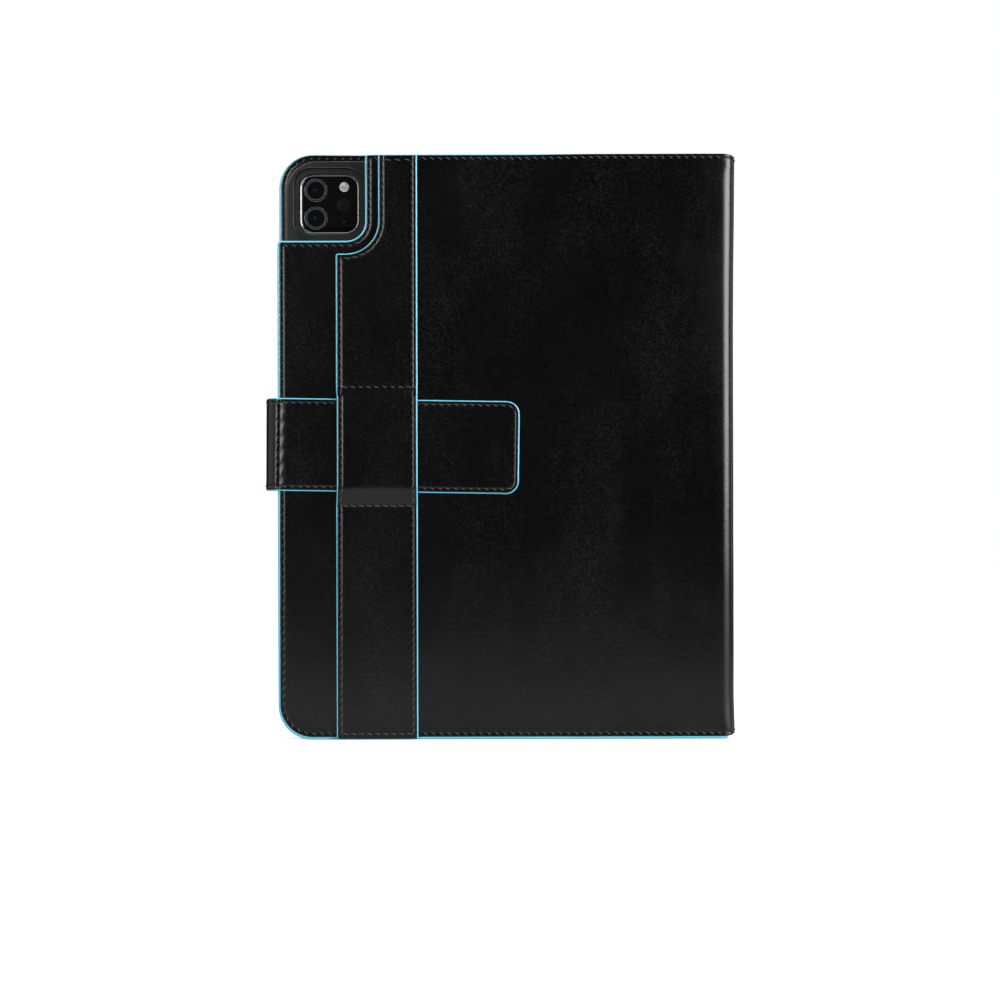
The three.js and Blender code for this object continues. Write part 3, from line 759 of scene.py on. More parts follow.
def edge_paint():
    """Turquoise edge paint: thick, satin, slightly uneven."""
    n = Nodes("edge_paint")
    clouds = n.noise(60, detail=4)
    n.link("Base Color", n.colours(clouds, (0.065, 0.42, 0.58), (0.11, 0.52, 0.68)))
    n.link("Roughness", n.remap(clouds, 0.3, 0.7, 0.2, 0.3))
    normal = n.bump(n.noise(700, detail=3), 0.04 * MM, 0.3)
    n.link("Normal", n.bump(clouds, 0.1 * MM, 0.3, normal))
    n.set(Specular_IOR_Level=0.7)
    return n.material


def thread():
    """Waxed thread of two twisted plies."""
    n = Nodes("waxed_thread")
    fuzz = n.noise(2500, detail=2)
    n.link("Base Color", n.colours(fuzz, (0.018, 0.0177, 0.0172), (0.055, 0.054, 0.052)))
    n.link("Roughness", n.remap(fuzz, 0.3, 0.7, 0.5, 0.7))
    plies = n.add("TexWave", {"Vector": n.stretched(1, 1, 1, 0.8), "Scale": 900,
                              "Distortion": 1.0}).outputs["Fac"]
    n.link("Normal", n.bump(plies, 0.06 * MM, 0.5))
    n.set(Specular_IOR_Level=0.4)
    return n.material


def microfibre():
    """Short-napped lining with soft shading where the nap lies differently."""
    n = Nodes("microfibre")
    nap = n.noise(35, detail=5, roughness=0.6)
    fibre = n.noise(3200, detail=2)
    both = n.math("MULTIPLY", nap, fibre)
    n.link("Base Color", n.colours(both, (0.012, 0.012, 0.013), (0.045, 0.045, 0.048)))
    n.link("Roughness", n.remap(nap, 0.3, 0.7, 0.8, 0.95))
    n.link("Normal", n.bump(fibre, 0.08 * MM, 0.6))
    n.set(Sheen_Weight=0.35, Sheen_Roughness=0.4, Specular_IOR_Level=0.2)
    return n.material


def shell_plastic():
    """Fine spark-eroded texture on dark grey plastic."""
    n = Nodes("shell_plastic")
    speckle = n.noise(1800, detail=3, roughness=0.7)
    clouds = n.noise(25, detail=3)
    n.link("Base Color", n.colours(speckle, (0.001, 0.001, 0.0011), (0.0042, 0.0042, 0.0044)))
    n.link("Roughness", n.remap(clouds, 0.3, 0.7, 0.34, 0.44))
    n.link("Normal", n.bump(speckle, 0.04 * MM, 0.4))
    n.set(Specular_IOR_Level=0.36)
    return n.material


def aluminium():
    """Bead-blasted grey aluminium."""
    return speckled("grey_aluminium", 4000, 2, (0.28, 0.285, 0.295), (0.40, 0.405, 0.415),
                    (0.28, 0.36), 0.3, Metallic=1.0)


def rim_metal():
    """The camera's polished and anodised rim."""
    return speckled("rim_metal", 500, 3, (0.28, 0.28, 0.285), (0.40, 0.40, 0.405),
                    (0.16, 0.26), 0.2, Metallic=1.0)


def black_glass():
    """Polished black glass with the faintest dust and smears."""
    n = Nodes("black_glass")
    smear = n.noise(40, detail=5, roughness=0.7)
    n.link("Base Color", n.colours(smear, (0.0012, 0.0012, 0.0014), (0.0025, 0.0025, 0.0028)))
    n.link("Roughness", n.remap(smear, 0.35, 0.75, 0.03, 0.09))
    n.link("Normal", n.bump(smear, 0.01 * MM, 0.05))
    n.set(IOR=1.5, Specular_IOR_Level=0.5)
    return n.material


def lens_glass():
    """Coated lens glass with a dull violet reflection."""
    return speckled("lens_glass", 220, 2, (0.002, 0.002, 0.004), (0.009, 0.006, 0.012),
                    (0.04, 0.08), 0.05, IOR=1.7, Coat_Weight=0.6, Coat_Roughness=0.03,
                    Coat_Tint=(0.65, 0.6, 0.95, 1))


def lens_barrel():
    """Matte black lens barrels with a fine grain."""
    return speckled("lens_barrel", 1500, 3, (0.006, 0.006, 0.007), (0.018, 0.018, 0.019),
                    (0.35, 0.5), 0.3, depth=0.02 * MM, Specular_IOR_Level=0.5)


def sensor_window():
    """The depth sensor's window: glass a little lighter than the plate round it."""
    return speckled("sensor_window", 150, 3, (0.003, 0.003, 0.0034), (0.0065, 0.0065, 0.007),
                    (0.12, 0.2), 0.05, IOR=1.5, Specular_IOR_Level=0.4)


def flash_diffuser():
    """The flash's frosted, faintly yellow diffuser."""
    n = Nodes("flash_diffuser")
    cells = n.cells(900, feature="F1")
    n.link("Base Color", n.colours(cells, (0.62, 0.60, 0.55), (0.07, 0.07, 0.06)))
    n.link("Roughness", n.remap(cells, 0.0, 1.0, 0.15, 0.35))
    n.link("Normal", n.bump(cells, 0.08 * MM, 0.6))
    n.set(Specular_IOR_Level=0.6, Coat_Weight=0.4)
    return n.material


def lens_ring():
    """Dark polished rings round the lenses."""
    return speckled("lens_ring", 700, 3, (0.24, 0.24, 0.245), (0.36, 0.36, 0.365),
                    (0.18, 0.28), 0.2, Metallic=1.0)


def magnet_metal():
    """Nickel-plated magnets."""
    return speckled("magnet_metal", 900, 3, (0.5, 0.5, 0.51), (0.62, 0.62, 0.63),
                    (0.25, 0.35), 0.2, Metallic=1.0)


def floor_material():
    """A white sweep. To the camera it glows, a little less near the case so that contact shadows
    show, and reads burnt out as a studio floor does; to everything else its colour is a painted
    pool of light, bright near the case and painted dark farther away.
    """
    n = Nodes("floor")
    soft = n.noise(3, detail=2)
    away = n.add("VectorMath", {0: n.where}, operation="LENGTH").outputs["Value"]
    far = n.remap(away, FLOOR_NEAR, FLOOR_FAR, 0.0, 1.0)
    # Painted pool of light: the floor's colour is bright near the case and painted dark farther
    # off, standing in for the lamps' falloff, with a faint random tone on top.
    shade = n.math("ADD", n.remap(soft, 0.0, 1.0, -0.01, 0.01), n.remap(far, 0.0, 1.0, 0.62, 0.02))
    n.link("Base Color", shade)
    n.set(Roughness=0.9, Specular_IOR_Level=0.1, Emission_Color=(1, 1, 1, 1))
    seen = n.add("LightPath").outputs["Is Camera Ray"]
    glow = n.remap(far, 0.0, 1.0, FLOOR_GLOW, 1.0)
    n.link("Emission Strength", n.math("MULTIPLY", seen, glow))
    return n.material


LEATHER_LOOK = black_leather()
PAINT_LOOK = edge_paint()
THREAD_LOOK = thread()
LINING_LOOK = microfibre()
SHELL_LOOK = shell_plastic()
METAL_LOOK = aluminium()
RIM_LOOK = rim_metal()
GLASS_LOOK = black_glass()
LENS_LOOK = lens_glass()
BARREL_LOOK = lens_barrel()
RING_LOOK = lens_ring()
SENSOR_LOOK = sensor_window()
FLASH_LOOK = flash_diffuser()
MAGNET_LOOK = magnet_metal()


# ---- Shared shapes ----

# Edge inward, in millimetres: (inset, drop). The row of stitches lies in a shallow groove.
GROOVE = [(1.6, 0.0), (2.05, 0.04), (2.3, 0.15), (2.5, 0.2), (2.7, 0.15), (2.95, 0.04),
          (3.5, -0.03), (4.6, 0.0), (6.5, 0.0)]


def edge_profile(paint, groove=GROOVE, rounding=0.24):
    """The leather's edge from the paint inward: a rounded shoulder, then the stitch groove."""
    start = paint / MM
    shoulder = [(start, rounding), (start + 0.12, rounding * 0.5), (start + 0.32, rounding * 0.15),
                (start + 0.6, 0.0)]
    return [(inset * MM, drop * MM) for inset, drop in shoulder + groove]


def bead_section(paint, depth, rounding=0.24 * MM):
    """A painted edge's section, from under the leather's shoulder round to the lining side."""
    under = 0.15 * MM
    reach = depth / 2
    front = [(paint + under, -rounding - 0.1 * MM), (paint + 0.02 * MM, -rounding + 0.03 * MM),
             (paint * 0.62, -rounding - 0.02 * MM), (paint * 0.32, -rounding - 0.16 * MM),
             (paint * 0.12, -rounding - 0.42 * MM), (0.0, -rounding - 0.85 * MM)]
    back = [(inset, -depth - height) for inset, height in reversed(front)]
    if reach < rounding + 0.9 * MM:
        squeeze = (reach - rounding) / (0.95 * MM)
        front = [(i, -rounding + (h + rounding) * squeeze) for i, h in front]
        back = [(i, -depth - h) for i, h in reversed(front)]
    return front + back


def leather_relief(seed, amount):
    """Slow unevenness of leather glued over a board."""
    generator = np.random.default_rng(seed)
    waves = [(generator.uniform(60, 190), generator.uniform(0, 2 * math.pi),
              generator.uniform(0, 2 * math.pi)) for _ in range(7)]

    def relief(flat):
        total = np.zeros(len(flat))
        for number, direction, phase in waves:
            along = flat[:, 0] * math.cos(direction) + flat[:, 1] * math.sin(direction)
            total += np.sin(along * number + phase)
        return total / len(waves) * amount

    return relief


# ---- The outer leather of the case ----


def flaring(place):
    """The spine is a little wider at its two ends than in the middle."""

    def flared(flat, height):
        points = place(flat, height)
        t = points[:, 2]
        above = smooth((t - FLARE_START) / FLARE_LENGTH)
        below = smooth((FLARE_END - t) / FLARE_END)
        ends = above + 0.5 * below
        points[:, 0] += SPINE_FLARE * ends * smooth((points[:, 0] - FOLD_X) / FOLD_RADIUS)
        return points

    return flared


back_place = flaring(bending(BACK_FACE, 1, FOLD_X, 1, FOLD_RADIUS))
cover_place = flaring(bending(COVER_FACE, -1, FOLD_X, 1, FOLD_RADIUS))


def bend_with_spine(piece, side):
    """Bakes the piece's transform into its mesh; both sides are treated alike."""
    if side == "back":
        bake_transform(piece)
    else:
        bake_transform(piece)


def case_leather(side, place, notched, seed):
    """One panel's outer leather with half of the spine's, and its row of stitches."""
    outline = panel_outline(SKIN_END, notched)
    skin = sheet_piece(f"{side}_skin", outline, edge_profile(PAINTED_EDGE), place, LEATHER,
                       LEATHER_LOOK, relief=leather_relief(seed, 0.07 * MM))
    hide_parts(f"{side}_leather")
    if side == "back":
        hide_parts("spine_leather")
    seam = stitch_piece(f"{side}_stitches", [outline(SEAM_INSET)], place, THREAD_LOOK,
                         level=SKIN_STITCH_LEVEL)
    for piece in (skin, seam):
        bend_with_spine(piece, side)


def case_edge(side, place, notched, depth):
    """The painted edge round a panel, which stops where the leather turns into the spine."""
    outline = panel_outline(FOLD_X + 2.6 * MM, notched)
    bead = sweep_piece(f"{side}_painted_edge", outline, bead_section(PAINTED_EDGE, depth), place,
                       PAINT_LOOK)
    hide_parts(f"{side}_board")
    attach(bead, side)


PANEL_DEPTH = BACK_LINING_HIGH.y - BACK_FACE

case_leather("back", back_place, True, 3)
case_edge("back", back_place, True, PANEL_DEPTH)
case_leather("cover", cover_place, False, 5)
case_edge("cover", cover_place, False, PANEL_DEPTH)


# ---- The linings ----

BORDER_WIDTH = 6.5 * MM
LINING_RECESS = 0.45 * MM
LINING_STITCH_LEVEL = -0.34 * MM
LINING_TUCK = 0.25 * MM
SPINE_LINING_INSET = 1.6 * MM


def lining(side, inner_y, notched):
    """A panel's inner face: soft lining inside a leather border that is sewn round the edge."""
    outline = panel_outline(BOARD_HIGH.x, notched)
    surface = flat_at(inner_y, -1 if side == "back" else 1)
    profile = [(PAINTED_EDGE, LINING_RECESS), (2 * MM, LINING_RECESS),
               (BORDER_WIDTH - 0.2 * MM, LINING_RECESS), (BORDER_WIDTH + 0.3 * MM, 0.0),
               (BORDER_WIDTH + 2 * MM, 0.0)]
    sheet = sheet_piece(f"{side}_lining_sheet", outline, profile, surface, 0.9 * MM, LINING_LOOK,
                        relief=leather_relief(11, 0.04 * MM))
    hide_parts(f"{side}_lining")
    section = [(inset, -drop) for inset, drop in edge_profile(PAINTED_EDGE) if inset < BORDER_WIDTH]
    section += [(BORDER_WIDTH - 0.25 * MM, 0.0), (BORDER_WIDTH, -0.15 * MM),
                (BORDER_WIDTH, -0.6 * MM), (PAINTED_EDGE, -0.6 * MM)]
    border = sweep_piece(f"{side}_border", outline, section, surface, LEATHER_LOOK)
    seam = stitch_piece(f"{side}_lining_stitches", [outline(SEAM_INSET)], surface, THREAD_LOOK,
                        level=LINING_STITCH_LEVEL, slant=-STITCH_SLANT)
    for piece in (sheet, border, seam):
        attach(piece, side)


lining("back", BACK_LINING_HIGH.y, True)
lining("cover", COVER_LINING_LOW.y, False)


def spine_lining():
    """The lining runs round the inside of the spine and is tucked under the panels' linings."""
    inner = SPINE_LINING_LOW.x + LINING_TUCK
    radius = FOLD_RADIUS - (RIGHT - inner)
    start_x = BOARD_HIGH.x - 2 * MM
    end = FOLD_X + radius * math.pi / 2 + HALF_SPINE
    low, high = BOTTOM + SPINE_LINING_INSET, TOP - SPINE_LINING_INSET
    profile = [(0, 0.15 * MM), (0.3 * MM, 0), (2 * MM, 0)]

    def at(inset):
        return np.concatenate([
            run((end, high - inset), (start_x, high - inset), count=16),
            run((start_x, high - inset), (start_x, low + inset), count=120),
            run((start_x, low + inset), (end, low + inset), count=16),
            np.array([[end, low + inset]]),
        ])

    for side, face, turn in (("back", BACK_FACE, 1), ("cover", COVER_FACE, -1)):
        face_in = face + turn * (RIGHT - inner)
        place = bending(face_in, turn, FOLD_X, 1, radius)
        strip = sheet_piece(f"spine_lining_{side}", at, profile, place, 0.4 * MM, LINING_LOOK,
                            spacing=3 * MM)
        if side == "back":
            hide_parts("spine_lining", "spine_board")
        if side == "back":
            bend_with_spine(strip, side)
        else:
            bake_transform(strip)


spine_lining()


# ---- The keeper band ----


def keeper_band():
    """The band's leather, its painted edge and its stitches, two rows of which cross it."""
    outline = band_outline()
    profile = edge_profile(STRAP_PAINTED_EDGE, groove=[
        (1.5, 0.0), (1.95, 0.04), (2.2, 0.14), (2.4, 0.18), (2.6, 0.14), (2.85, 0.04), (3.4, -0.02),
        (4.6, 0.0)], rounding=0.2)
    band = sheet_piece("keeper_band_leather", outline, profile, band_place, 1.1 * MM, LEATHER_LOOK,
                       closed=True, spacing=2.2 * MM, relief=leather_relief(7, 0.05 * MM))
    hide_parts("keeper_band")
    bead = sweep_piece("keeper_band_edge", outline,
                       bead_section(STRAP_PAINTED_EDGE, BAND_THICKNESS, 0.2 * MM), band_place,
                       PAINT_LOOK, closed=True)
    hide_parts("keeper_backing")
    left, right = BAND_LOW.x + BAND_SEAM_INSET, BAND_HIGH.x - BAND_SEAM_INSET
    low, high = BAND_LOW.z + 1.5 * MM, BAND_HIGH.z - 1.5 * MM
    offset = BAND_NOTCH_OFFSET + BAND_SEAM_INSET
    side, floor = NOTCH_X + offset, NOTCH_Z - offset
    centre = (NOTCH_X - NOTCH_RADIUS, NOTCH_Z + NOTCH_RADIUS)
    radius = NOTCH_RADIUS + offset
    left_column = np.concatenate([
        run((side, high), (side, centre[1])),
        arc(centre, radius, 0, -90, 20),
        run((centre[0], floor), (left, floor)),
        run((left, floor), (left, low)),
        np.array([[left, low]]),
    ])
    right_column = np.array([[right, high], [right, low]])
    cross = [np.array([[left, z], [right, z]]) for z in (LOOP_LOW - 0.3 * MM, LOOP_HIGH - 0.6 * MM)]
    top_row = np.array([[side, high - 0.7 * MM], [right, high - 0.7 * MM]])
    bottom_row = np.array([[left, low + 0.7 * MM], [right, low + 0.7 * MM]])
    stitches = stitch_piece("keeper_band_stitches",
                            [left_column, right_column, *cross, top_row, bottom_row], band_place,
                            THREAD_LOOK, level=-0.1 * MM, **BAND_STITCH)
    for piece in (band, bead, stitches):
        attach(piece, "back")


keeper_band()


# ---- The strap ----


def strap_relief(flat):
    """Where the strap turns round the fore edge a sewn seam crosses it. The leather swells up
    to the seam on the tab's side, and the needle's holes lie in the seam. In millimetres."""
    x = (flat[:, 0] - WRAP_SEAM_X) / MM
    z = (flat[:, 1] - STRAP_LOW) / MM
    swell = np.clip((4.7 - x) / 4.6, 0, 0.985)
    puff = 1.0 * (np.sqrt(1 - swell**2) - 1)
    side = np.where(x > -0.05, puff, puff * np.clip(1 + (x + 0.05) / 0.2, 0, 1))
    uneven = 0.06 * np.sin(z * 0.9) * np.exp(-((x - 1.2) / 1.6)**2)
    groove = -0.3 * np.exp(-((x - 0.1) / 0.25)**2)
    near = np.mod(z + HOLE_PITCH / MM / 2, HOLE_PITCH / MM) - HOLE_PITCH / MM / 2
    holes = -0.5 * np.exp(-(x / 0.4)**2 - (near / 0.8)**2)
    edge = np.clip(np.minimum(z, STRAP_HEIGHT / MM - z) / 2.5, 0, 1)
    return MM * np.maximum(side + uneven + groove + holes, -1.75) * edge


def leaning(place):
    """The tab's tilt carried round the fold: its top leans right and its foot left."""

    def leant(flat, height):
        points = place(flat, height)
        reach = STRAP_MIDDLE_Y - STRAP_BACK_FACE
        toward_tab = np.clip((STRAP_MIDDLE_Y - points[:, 1]) / reach, 0, 1)
        middle = STRAP_LOW + STRAP_HEIGHT / 2
        points[:, 0] += STRAP_DROP * (points[:, 2] - middle) * toward_tab
        return points

    return leant


def strap_part(name, end_x, radius, drops, face, turn, nodes, relief):
    """Half of the strap, from the middle of its wrap to one end. nodes lists the CAD nodes that
    its leather stands for and those that its painted edge stands for."""
    outline = strap_outline(end_x, radius, drops)
    place = bending(face, turn, STRAP_FOLD_X, -1, STRAP_FOLD_RADIUS)
    if drops:
        place = leaning(place)
    profile = edge_profile(STRAP_PAINTED_EDGE, groove=[
        (1.45, 0.0), (1.85, 0.04), (2.1, 0.14), (2.3, 0.18), (2.5, 0.14), (2.75, 0.04),
        (3.3, -0.02), (4.4, 0.0)], rounding=0.2)
    fine = None if relief is None else (*SEAM_ZONE, (0.2 * MM, 0.4 * MM))
    leather = sheet_piece(f"{name}_leather", outline, profile, place, 1.15 * MM, LEATHER_LOOK,
                          spacing=1.5 * MM, relief=relief, fine=fine)
    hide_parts(*nodes[0])
    bead = sweep_piece(f"{name}_edge", outline,
                       bead_section(STRAP_PAINTED_EDGE, STRAP_THICKNESS, 0.2 * MM), place,
                       PAINT_LOOK)
    backing = sheet_piece(f"{name}_backing", outline,
                          [(0.35 * MM, 0.0), (0.8 * MM, 0.0), (3 * MM, 0.0)],
                          lambda flat, h: place(flat, h - 1.2 * MM), 0.75 * MM, LINING_LOOK,
                          spacing=1.5 * MM)
    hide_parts(*nodes[1])
    seam = stitch_piece(f"{name}_stitches", [outline(STRAP_SEAM_INSET)], place, THREAD_LOOK,
                        level=-0.1 * MM, **STRAP_STITCH)
    for piece in (leather, bead, backing, seam):
        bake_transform(piece)
    return place


tab_place = strap_part("strap_tab", STRAP_END_X, STRAP_END_RADIUS, True, STRAP_BACK_FACE, 1,
                       (["strap_tab", "strap_wrap"], ["strap_tab_backing"]),
                       strap_relief)
strap_part("strap_root", ANCHOR_END_X, 3 * MM, False, STRAP_COVER_FACE, -1,
           (["strap_anchor"], []), None)

wrap_seam = stitch_piece("strap_cross_stitches",
                         [np.array([[WRAP_SEAM_X, STRAP_LOW + 1.5 * MM],
                                    [WRAP_SEAM_X, STRAP_LOW + STRAP_HEIGHT - 1.5 * MM]])],
                         tab_place, THREAD_LOOK, level=-1.25 * MM, pitch=HOLE_PITCH,
                         length=1.9 * MM, slant=math.radians(-8), radius=0.2 * MM)
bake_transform(wrap_seam)


# ---- The tray ----


def rings_at(outline, section):
    """An outline's rings in space, one for each (inset, y) of a section."""
    return [np.insert(outline(inset), 1, y, axis=1) for inset, y in section]


TABLET_OUTLINE = rounded_box(TABLET_LOW.x, TABLET_HIGH.x, TABLET_LOW.z, TABLET_HIGH.z,
                             TABLET_RADIUS, corner=16, side=40)
TRAY_GROW = TABLET_LOW.x - TRAY_LOW.x
PLUG_SLOT = (-7, 7)
LEFT_SPEAKER_SLOT = (-88, -52)
RIGHT_SPEAKER_SLOT = (52, 88)
TRAY_FLOOR_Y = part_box("tray_liner")[0].y - 1.5 * MM
TRAY_INNER_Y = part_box("tray_liner")[0].y - 0.1 * MM
COLLAR_CREST_Y = TRAY_LOW.y


def tray():
    """The hard shell: a floor, walls round the tablet and a lip over its glass."""
    g = TRAY_GROW
    back, front = TRAY_FLOOR_Y, TRAY_HIGH.y
    lip = 1.1 * MM
    fit = 0.2 * MM
    section = [(9 * MM, back), (-g + 1.2 * MM, back), (-g + 0.55 * MM, back + 0.06 * MM),
               (-g + 0.2 * MM, back + 0.24 * MM), (-g + 0.04 * MM, back + 0.6 * MM),
               (-g, back + 1.1 * MM), (-g, front - 0.5 * MM), (-g + 0.08 * MM, front - 0.2 * MM),
               (-g + 0.35 * MM, front - 0.03 * MM), (-g + 0.8 * MM, front),
               (lip - 0.3 * MM, front), (lip - 0.05 * MM, front - 0.1 * MM),
               (lip, front - 0.3 * MM), (lip - 0.1 * MM, front - 0.45 * MM),
               (-fit, front - 0.45 * MM), (-fit, TRAY_INNER_Y), (9 * MM, TRAY_INNER_Y)]
    shell = stack_piece("tray_shell_moulding", rings_at(TABLET_OUTLINE, section), SHELL_LOOK)
    cutters = [prism("camera_hole", camera_opening()(0), back - 3 * MM, TRAY_INNER_Y + 1 * MM,
                     SHELL_LOOK)]
    cutters += lip_cutters() + slot_cutters()
    cut(shell, cutters)
    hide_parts("tray_shell")
    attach(shell, "back")


def camera_opening():
    """The camera island's outline with a little room round it."""
    fit = 0.4 * MM
    return rounded_box(RIM_LOW.x - fit, RIM_HIGH.x + fit, RIM_LOW.z - fit, RIM_HIGH.z + fit,
                       CAMERA_RADIUS + fit)


def box_cutter(name, x, y, z):
    """A box whose edges along Y are slightly rounded."""
    outline = rounded_box(x[0], x[1], z[0], z[1], 0.2 * MM, corner=3, side=2)
    return prism(name, outline(0), y[0], y[1], SHELL_LOOK)


def lip_cutters():
    """The lip overhangs the glass at the corners only, and runs out in between."""
    clip = 34 * MM
    y = (TRAY_HIGH.y - 0.46 * MM, TRAY_HIGH.y + 1 * MM)
    wide = (TABLET_LOW.x - 0.2 * MM, TABLET_HIGH.x + 0.2 * MM)
    tall = (TABLET_LOW.z - 0.2 * MM, TABLET_HIGH.z + 0.2 * MM)
    return [box_cutter("lip_sides", wide, y, (tall[0] + clip, tall[1] - clip)),
            box_cutter("lip_ends", (wide[0] + clip, wide[1] - clip), y, tall)]


def slot_cutters():
    """Room for the charging plug, the loudspeakers and the buttons, cut through the wall."""
    deep = (TABLET_LOW.y + 1 * MM, GLASS_HIGH.y - 1 * MM)
    open_front = (TABLET_LOW.y + 0.5 * MM, TRAY_HIGH.y + 1 * MM)
    below = (TABLET_LOW.z - 4 * MM, TABLET_LOW.z + 0.5 * MM)
    above = (TABLET_HIGH.z - 0.5 * MM, TABLET_HIGH.z + 4 * MM)
    slots = [box_cutter(f"slot_{i}", (a * MM, b * MM), deep, below)
             for i, (a, b) in enumerate([PLUG_SLOT, LEFT_SPEAKER_SLOT, RIGHT_SPEAKER_SLOT])]
    slots.append(box_cutter("slot_top", tuple(x * MM for x in RIGHT_SPEAKER_SLOT), deep, above))
    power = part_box("power_button")
    volume_low, volume_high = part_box("volume_down_button")[0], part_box("volume_up_button")[1]
    margin = 3.5 * MM
    slots.append(box_cutter("power_window", (power[0].x - margin, power[1].x + margin),
                            open_front, above))
    side = (TABLET_LOW.x - 4 * MM, TABLET_LOW.x + 0.5 * MM)
    slots.append(box_cutter("volume_window", side, open_front,
                            (volume_low.z - margin, volume_high.z + margin)))
    return slots


def collar():
    """The raised lip round the camera, which slopes in towards the opening."""
    clear = 0.5 * MM
    wall = 3.2 * MM
    opening = camera_opening()
    outer = rounded_box(RIM_LOW.x - 0.4 * MM - wall, NOTCH_X - clear, NOTCH_Z + clear,
                        RIM_HIGH.z + 0.4 * MM + wall, NOTCH_RADIUS - clear)
    base = TRAY_FLOOR_Y + 0.2 * MM
    crest = COLLAR_CREST_Y
    section = [(0.0, base), (0.0, crest + 0.6 * MM), (0.01, crest + 0.3 * MM),
               (0.03, crest + 0.1 * MM), (0.07, crest), (0.12, crest + 0.03 * MM),
               (0.16, crest + 0.15 * MM), (0.20, crest + 0.45 * MM), (0.28, crest + 1.7 * MM),
               (0.36, crest + 2.0 * MM), (0.94, crest + 2.1 * MM), (1.0, crest + 2.3 * MM),
               (1.0, TRAY_INNER_Y - 0.1 * MM), (0.6, TRAY_INNER_Y - 0.1 * MM)]
    rings = []
    for share, y in section:
        flat = outer(0) * (1 - share) + opening(0) * share
        rings.append(np.insert(flat, 1, y, axis=1))
    count, size = len(rings[0]), len(rings)
    faces = []
    for k in range(size):
        faces += quads(k * count, (k + 1) % size * count, count)
    piece = make_object("camera_collar", np.concatenate(rings), faces, SHELL_LOOK)
    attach(piece, "back")


tray()
collar()


# ---- The tablet ----


def tablet():
    """The tablet's housing and its display glass."""
    back, front = TABLET_LOW.y, TABLET_HIGH.y
    section = [(20 * MM, back), (0.8 * MM, back), (0.25 * MM, back + 0.1 * MM),
               (0.05 * MM, back + 0.35 * MM), (0, back + 0.8 * MM), (0, front - 0.5 * MM),
               (0.06 * MM, front - 0.15 * MM), (0.3 * MM, front), (20 * MM, front)]
    housing = stack_piece("tablet_body", rings_at(TABLET_OUTLINE, section), METAL_LOOK)
    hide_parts("tablet_housing")
    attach(housing, "back")
    low, high = GLASS_LOW.y, GLASS_HIGH.y
    section = [(20 * MM, low), (0.5 * MM, low), (0.35 * MM, low + 0.2 * MM),
               (0.4 * MM, high - 0.15 * MM), (0.6 * MM, high - 0.03 * MM), (0.9 * MM, high),
               (20 * MM, high)]
    glass = stack_piece("tablet_display", rings_at(TABLET_OUTLINE, section), GLASS_LOOK)
    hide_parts("tablet_glass")
    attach(glass, "back")


def camera():
    """The camera's rim and glass plate, and what lies under the plate."""
    x, z = (RIM_LOW.x + RIM_HIGH.x) / 2, (RIM_LOW.z + RIM_HIGH.z) / 2
    outline = rounded_box(RIM_LOW.x, RIM_HIGH.x, RIM_LOW.z, RIM_HIGH.z, CAMERA_RADIUS, corner=14)
    top, base = RIM_LOW.y, RIM_HIGH.y
    w = CAMERA_RIM
    section = [(0, base), (0, top + 0.3 * MM), (0.08 * MM, top + 0.1 * MM), (0.22 * MM, top),
               (w - 0.25 * MM, top), (w - 0.1 * MM, top + 0.06 * MM), (w, top + 0.22 * MM),
               (w, base)]
    rim = sweep_piece("camera_rim_ring", outline, [(i, -y) for i, y in section],
                      flat_at(0.0, 1), RIM_LOOK, closed=True, sharp=50)
    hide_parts("camera_rim")
    plate_top = PLATE_LOW.y
    section = [(8 * MM, plate_top), (w + 0.5 * MM, plate_top),
               (w + 0.1 * MM, plate_top + 0.08 * MM), (w + 0.05 * MM, plate_top + 0.3 * MM),
               (w + 0.05 * MM, base), (8 * MM, base)]
    plate = stack_piece("camera_plate_glass", rings_at(outline, section), GLASS_LOOK)
    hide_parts("camera_plate")
    for piece in (rim, plate):
        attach(piece, "back")
    for node in ("lens_wide", "lens_ultrawide"):
        lens(node, plate_top)
    small_windows(plate_top, x, z)


def round_part(node):
    """The middle in X and Z, the radius and the front of a round CAD node."""
    low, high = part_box(node)
    return (low.x + high.x) / 2, (low.z + high.z) / 2, (high.x - low.x) / 2, low.y


def lens(node, plate_top):
    """A polished ring, a stepped barrel and a domed front glass."""
    x, z, r, face = round_part(node)
    ring = lathe_piece(f"{node}_ring", x, z, [
        (r + 0.2 * MM, plate_top + 0.3 * MM), (r + 0.2 * MM, face + 0.1 * MM),
        (r + 0.1 * MM, face), (r, face), (r - 0.12 * MM, face + 0.12 * MM),
        (r - 0.5 * MM, plate_top + 0.3 * MM)],
        RING_LOOK, segments=72)
    # How far in from the rim each step of the barrel is, and how deep, in millimetres.
    steps_in = [(0.5, 0.1), (1.2, 0.14), (1.25, 0.3), (2.1, 0.34), (2.15, 0.5), (3.0, 0.52),
                (3.05, 0.62)]
    profile = [(0.0, face + 0.62 * MM)]
    profile += [(r - inward * MM, face + depth * MM) for inward, depth in reversed(steps_in)]
    profile += [(r - 0.5 * MM, face + 0.9 * MM), (0.0, face + 0.9 * MM)]
    barrel = lathe_piece(f"{node}_barrel", x, z, profile, BARREL_LOOK, segments=72)
    dome = [(0.0, face + 0.22 * MM), (0.8 * MM, face + 0.26 * MM), (1.5 * MM, face + 0.38 * MM),
            (2.1 * MM, face + 0.56 * MM), (2.3 * MM, face + 0.7 * MM), (0.0, face + 0.75 * MM)]
    front = lathe_piece(f"{node}_glass", x, z, dome, LENS_LOOK, segments=72, sharp=60)
    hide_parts(node)
    for piece, slot in ((ring, "grey_aluminium"), (barrel, "lens_glass"), (front, "lens_glass")):
        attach(piece, "back")


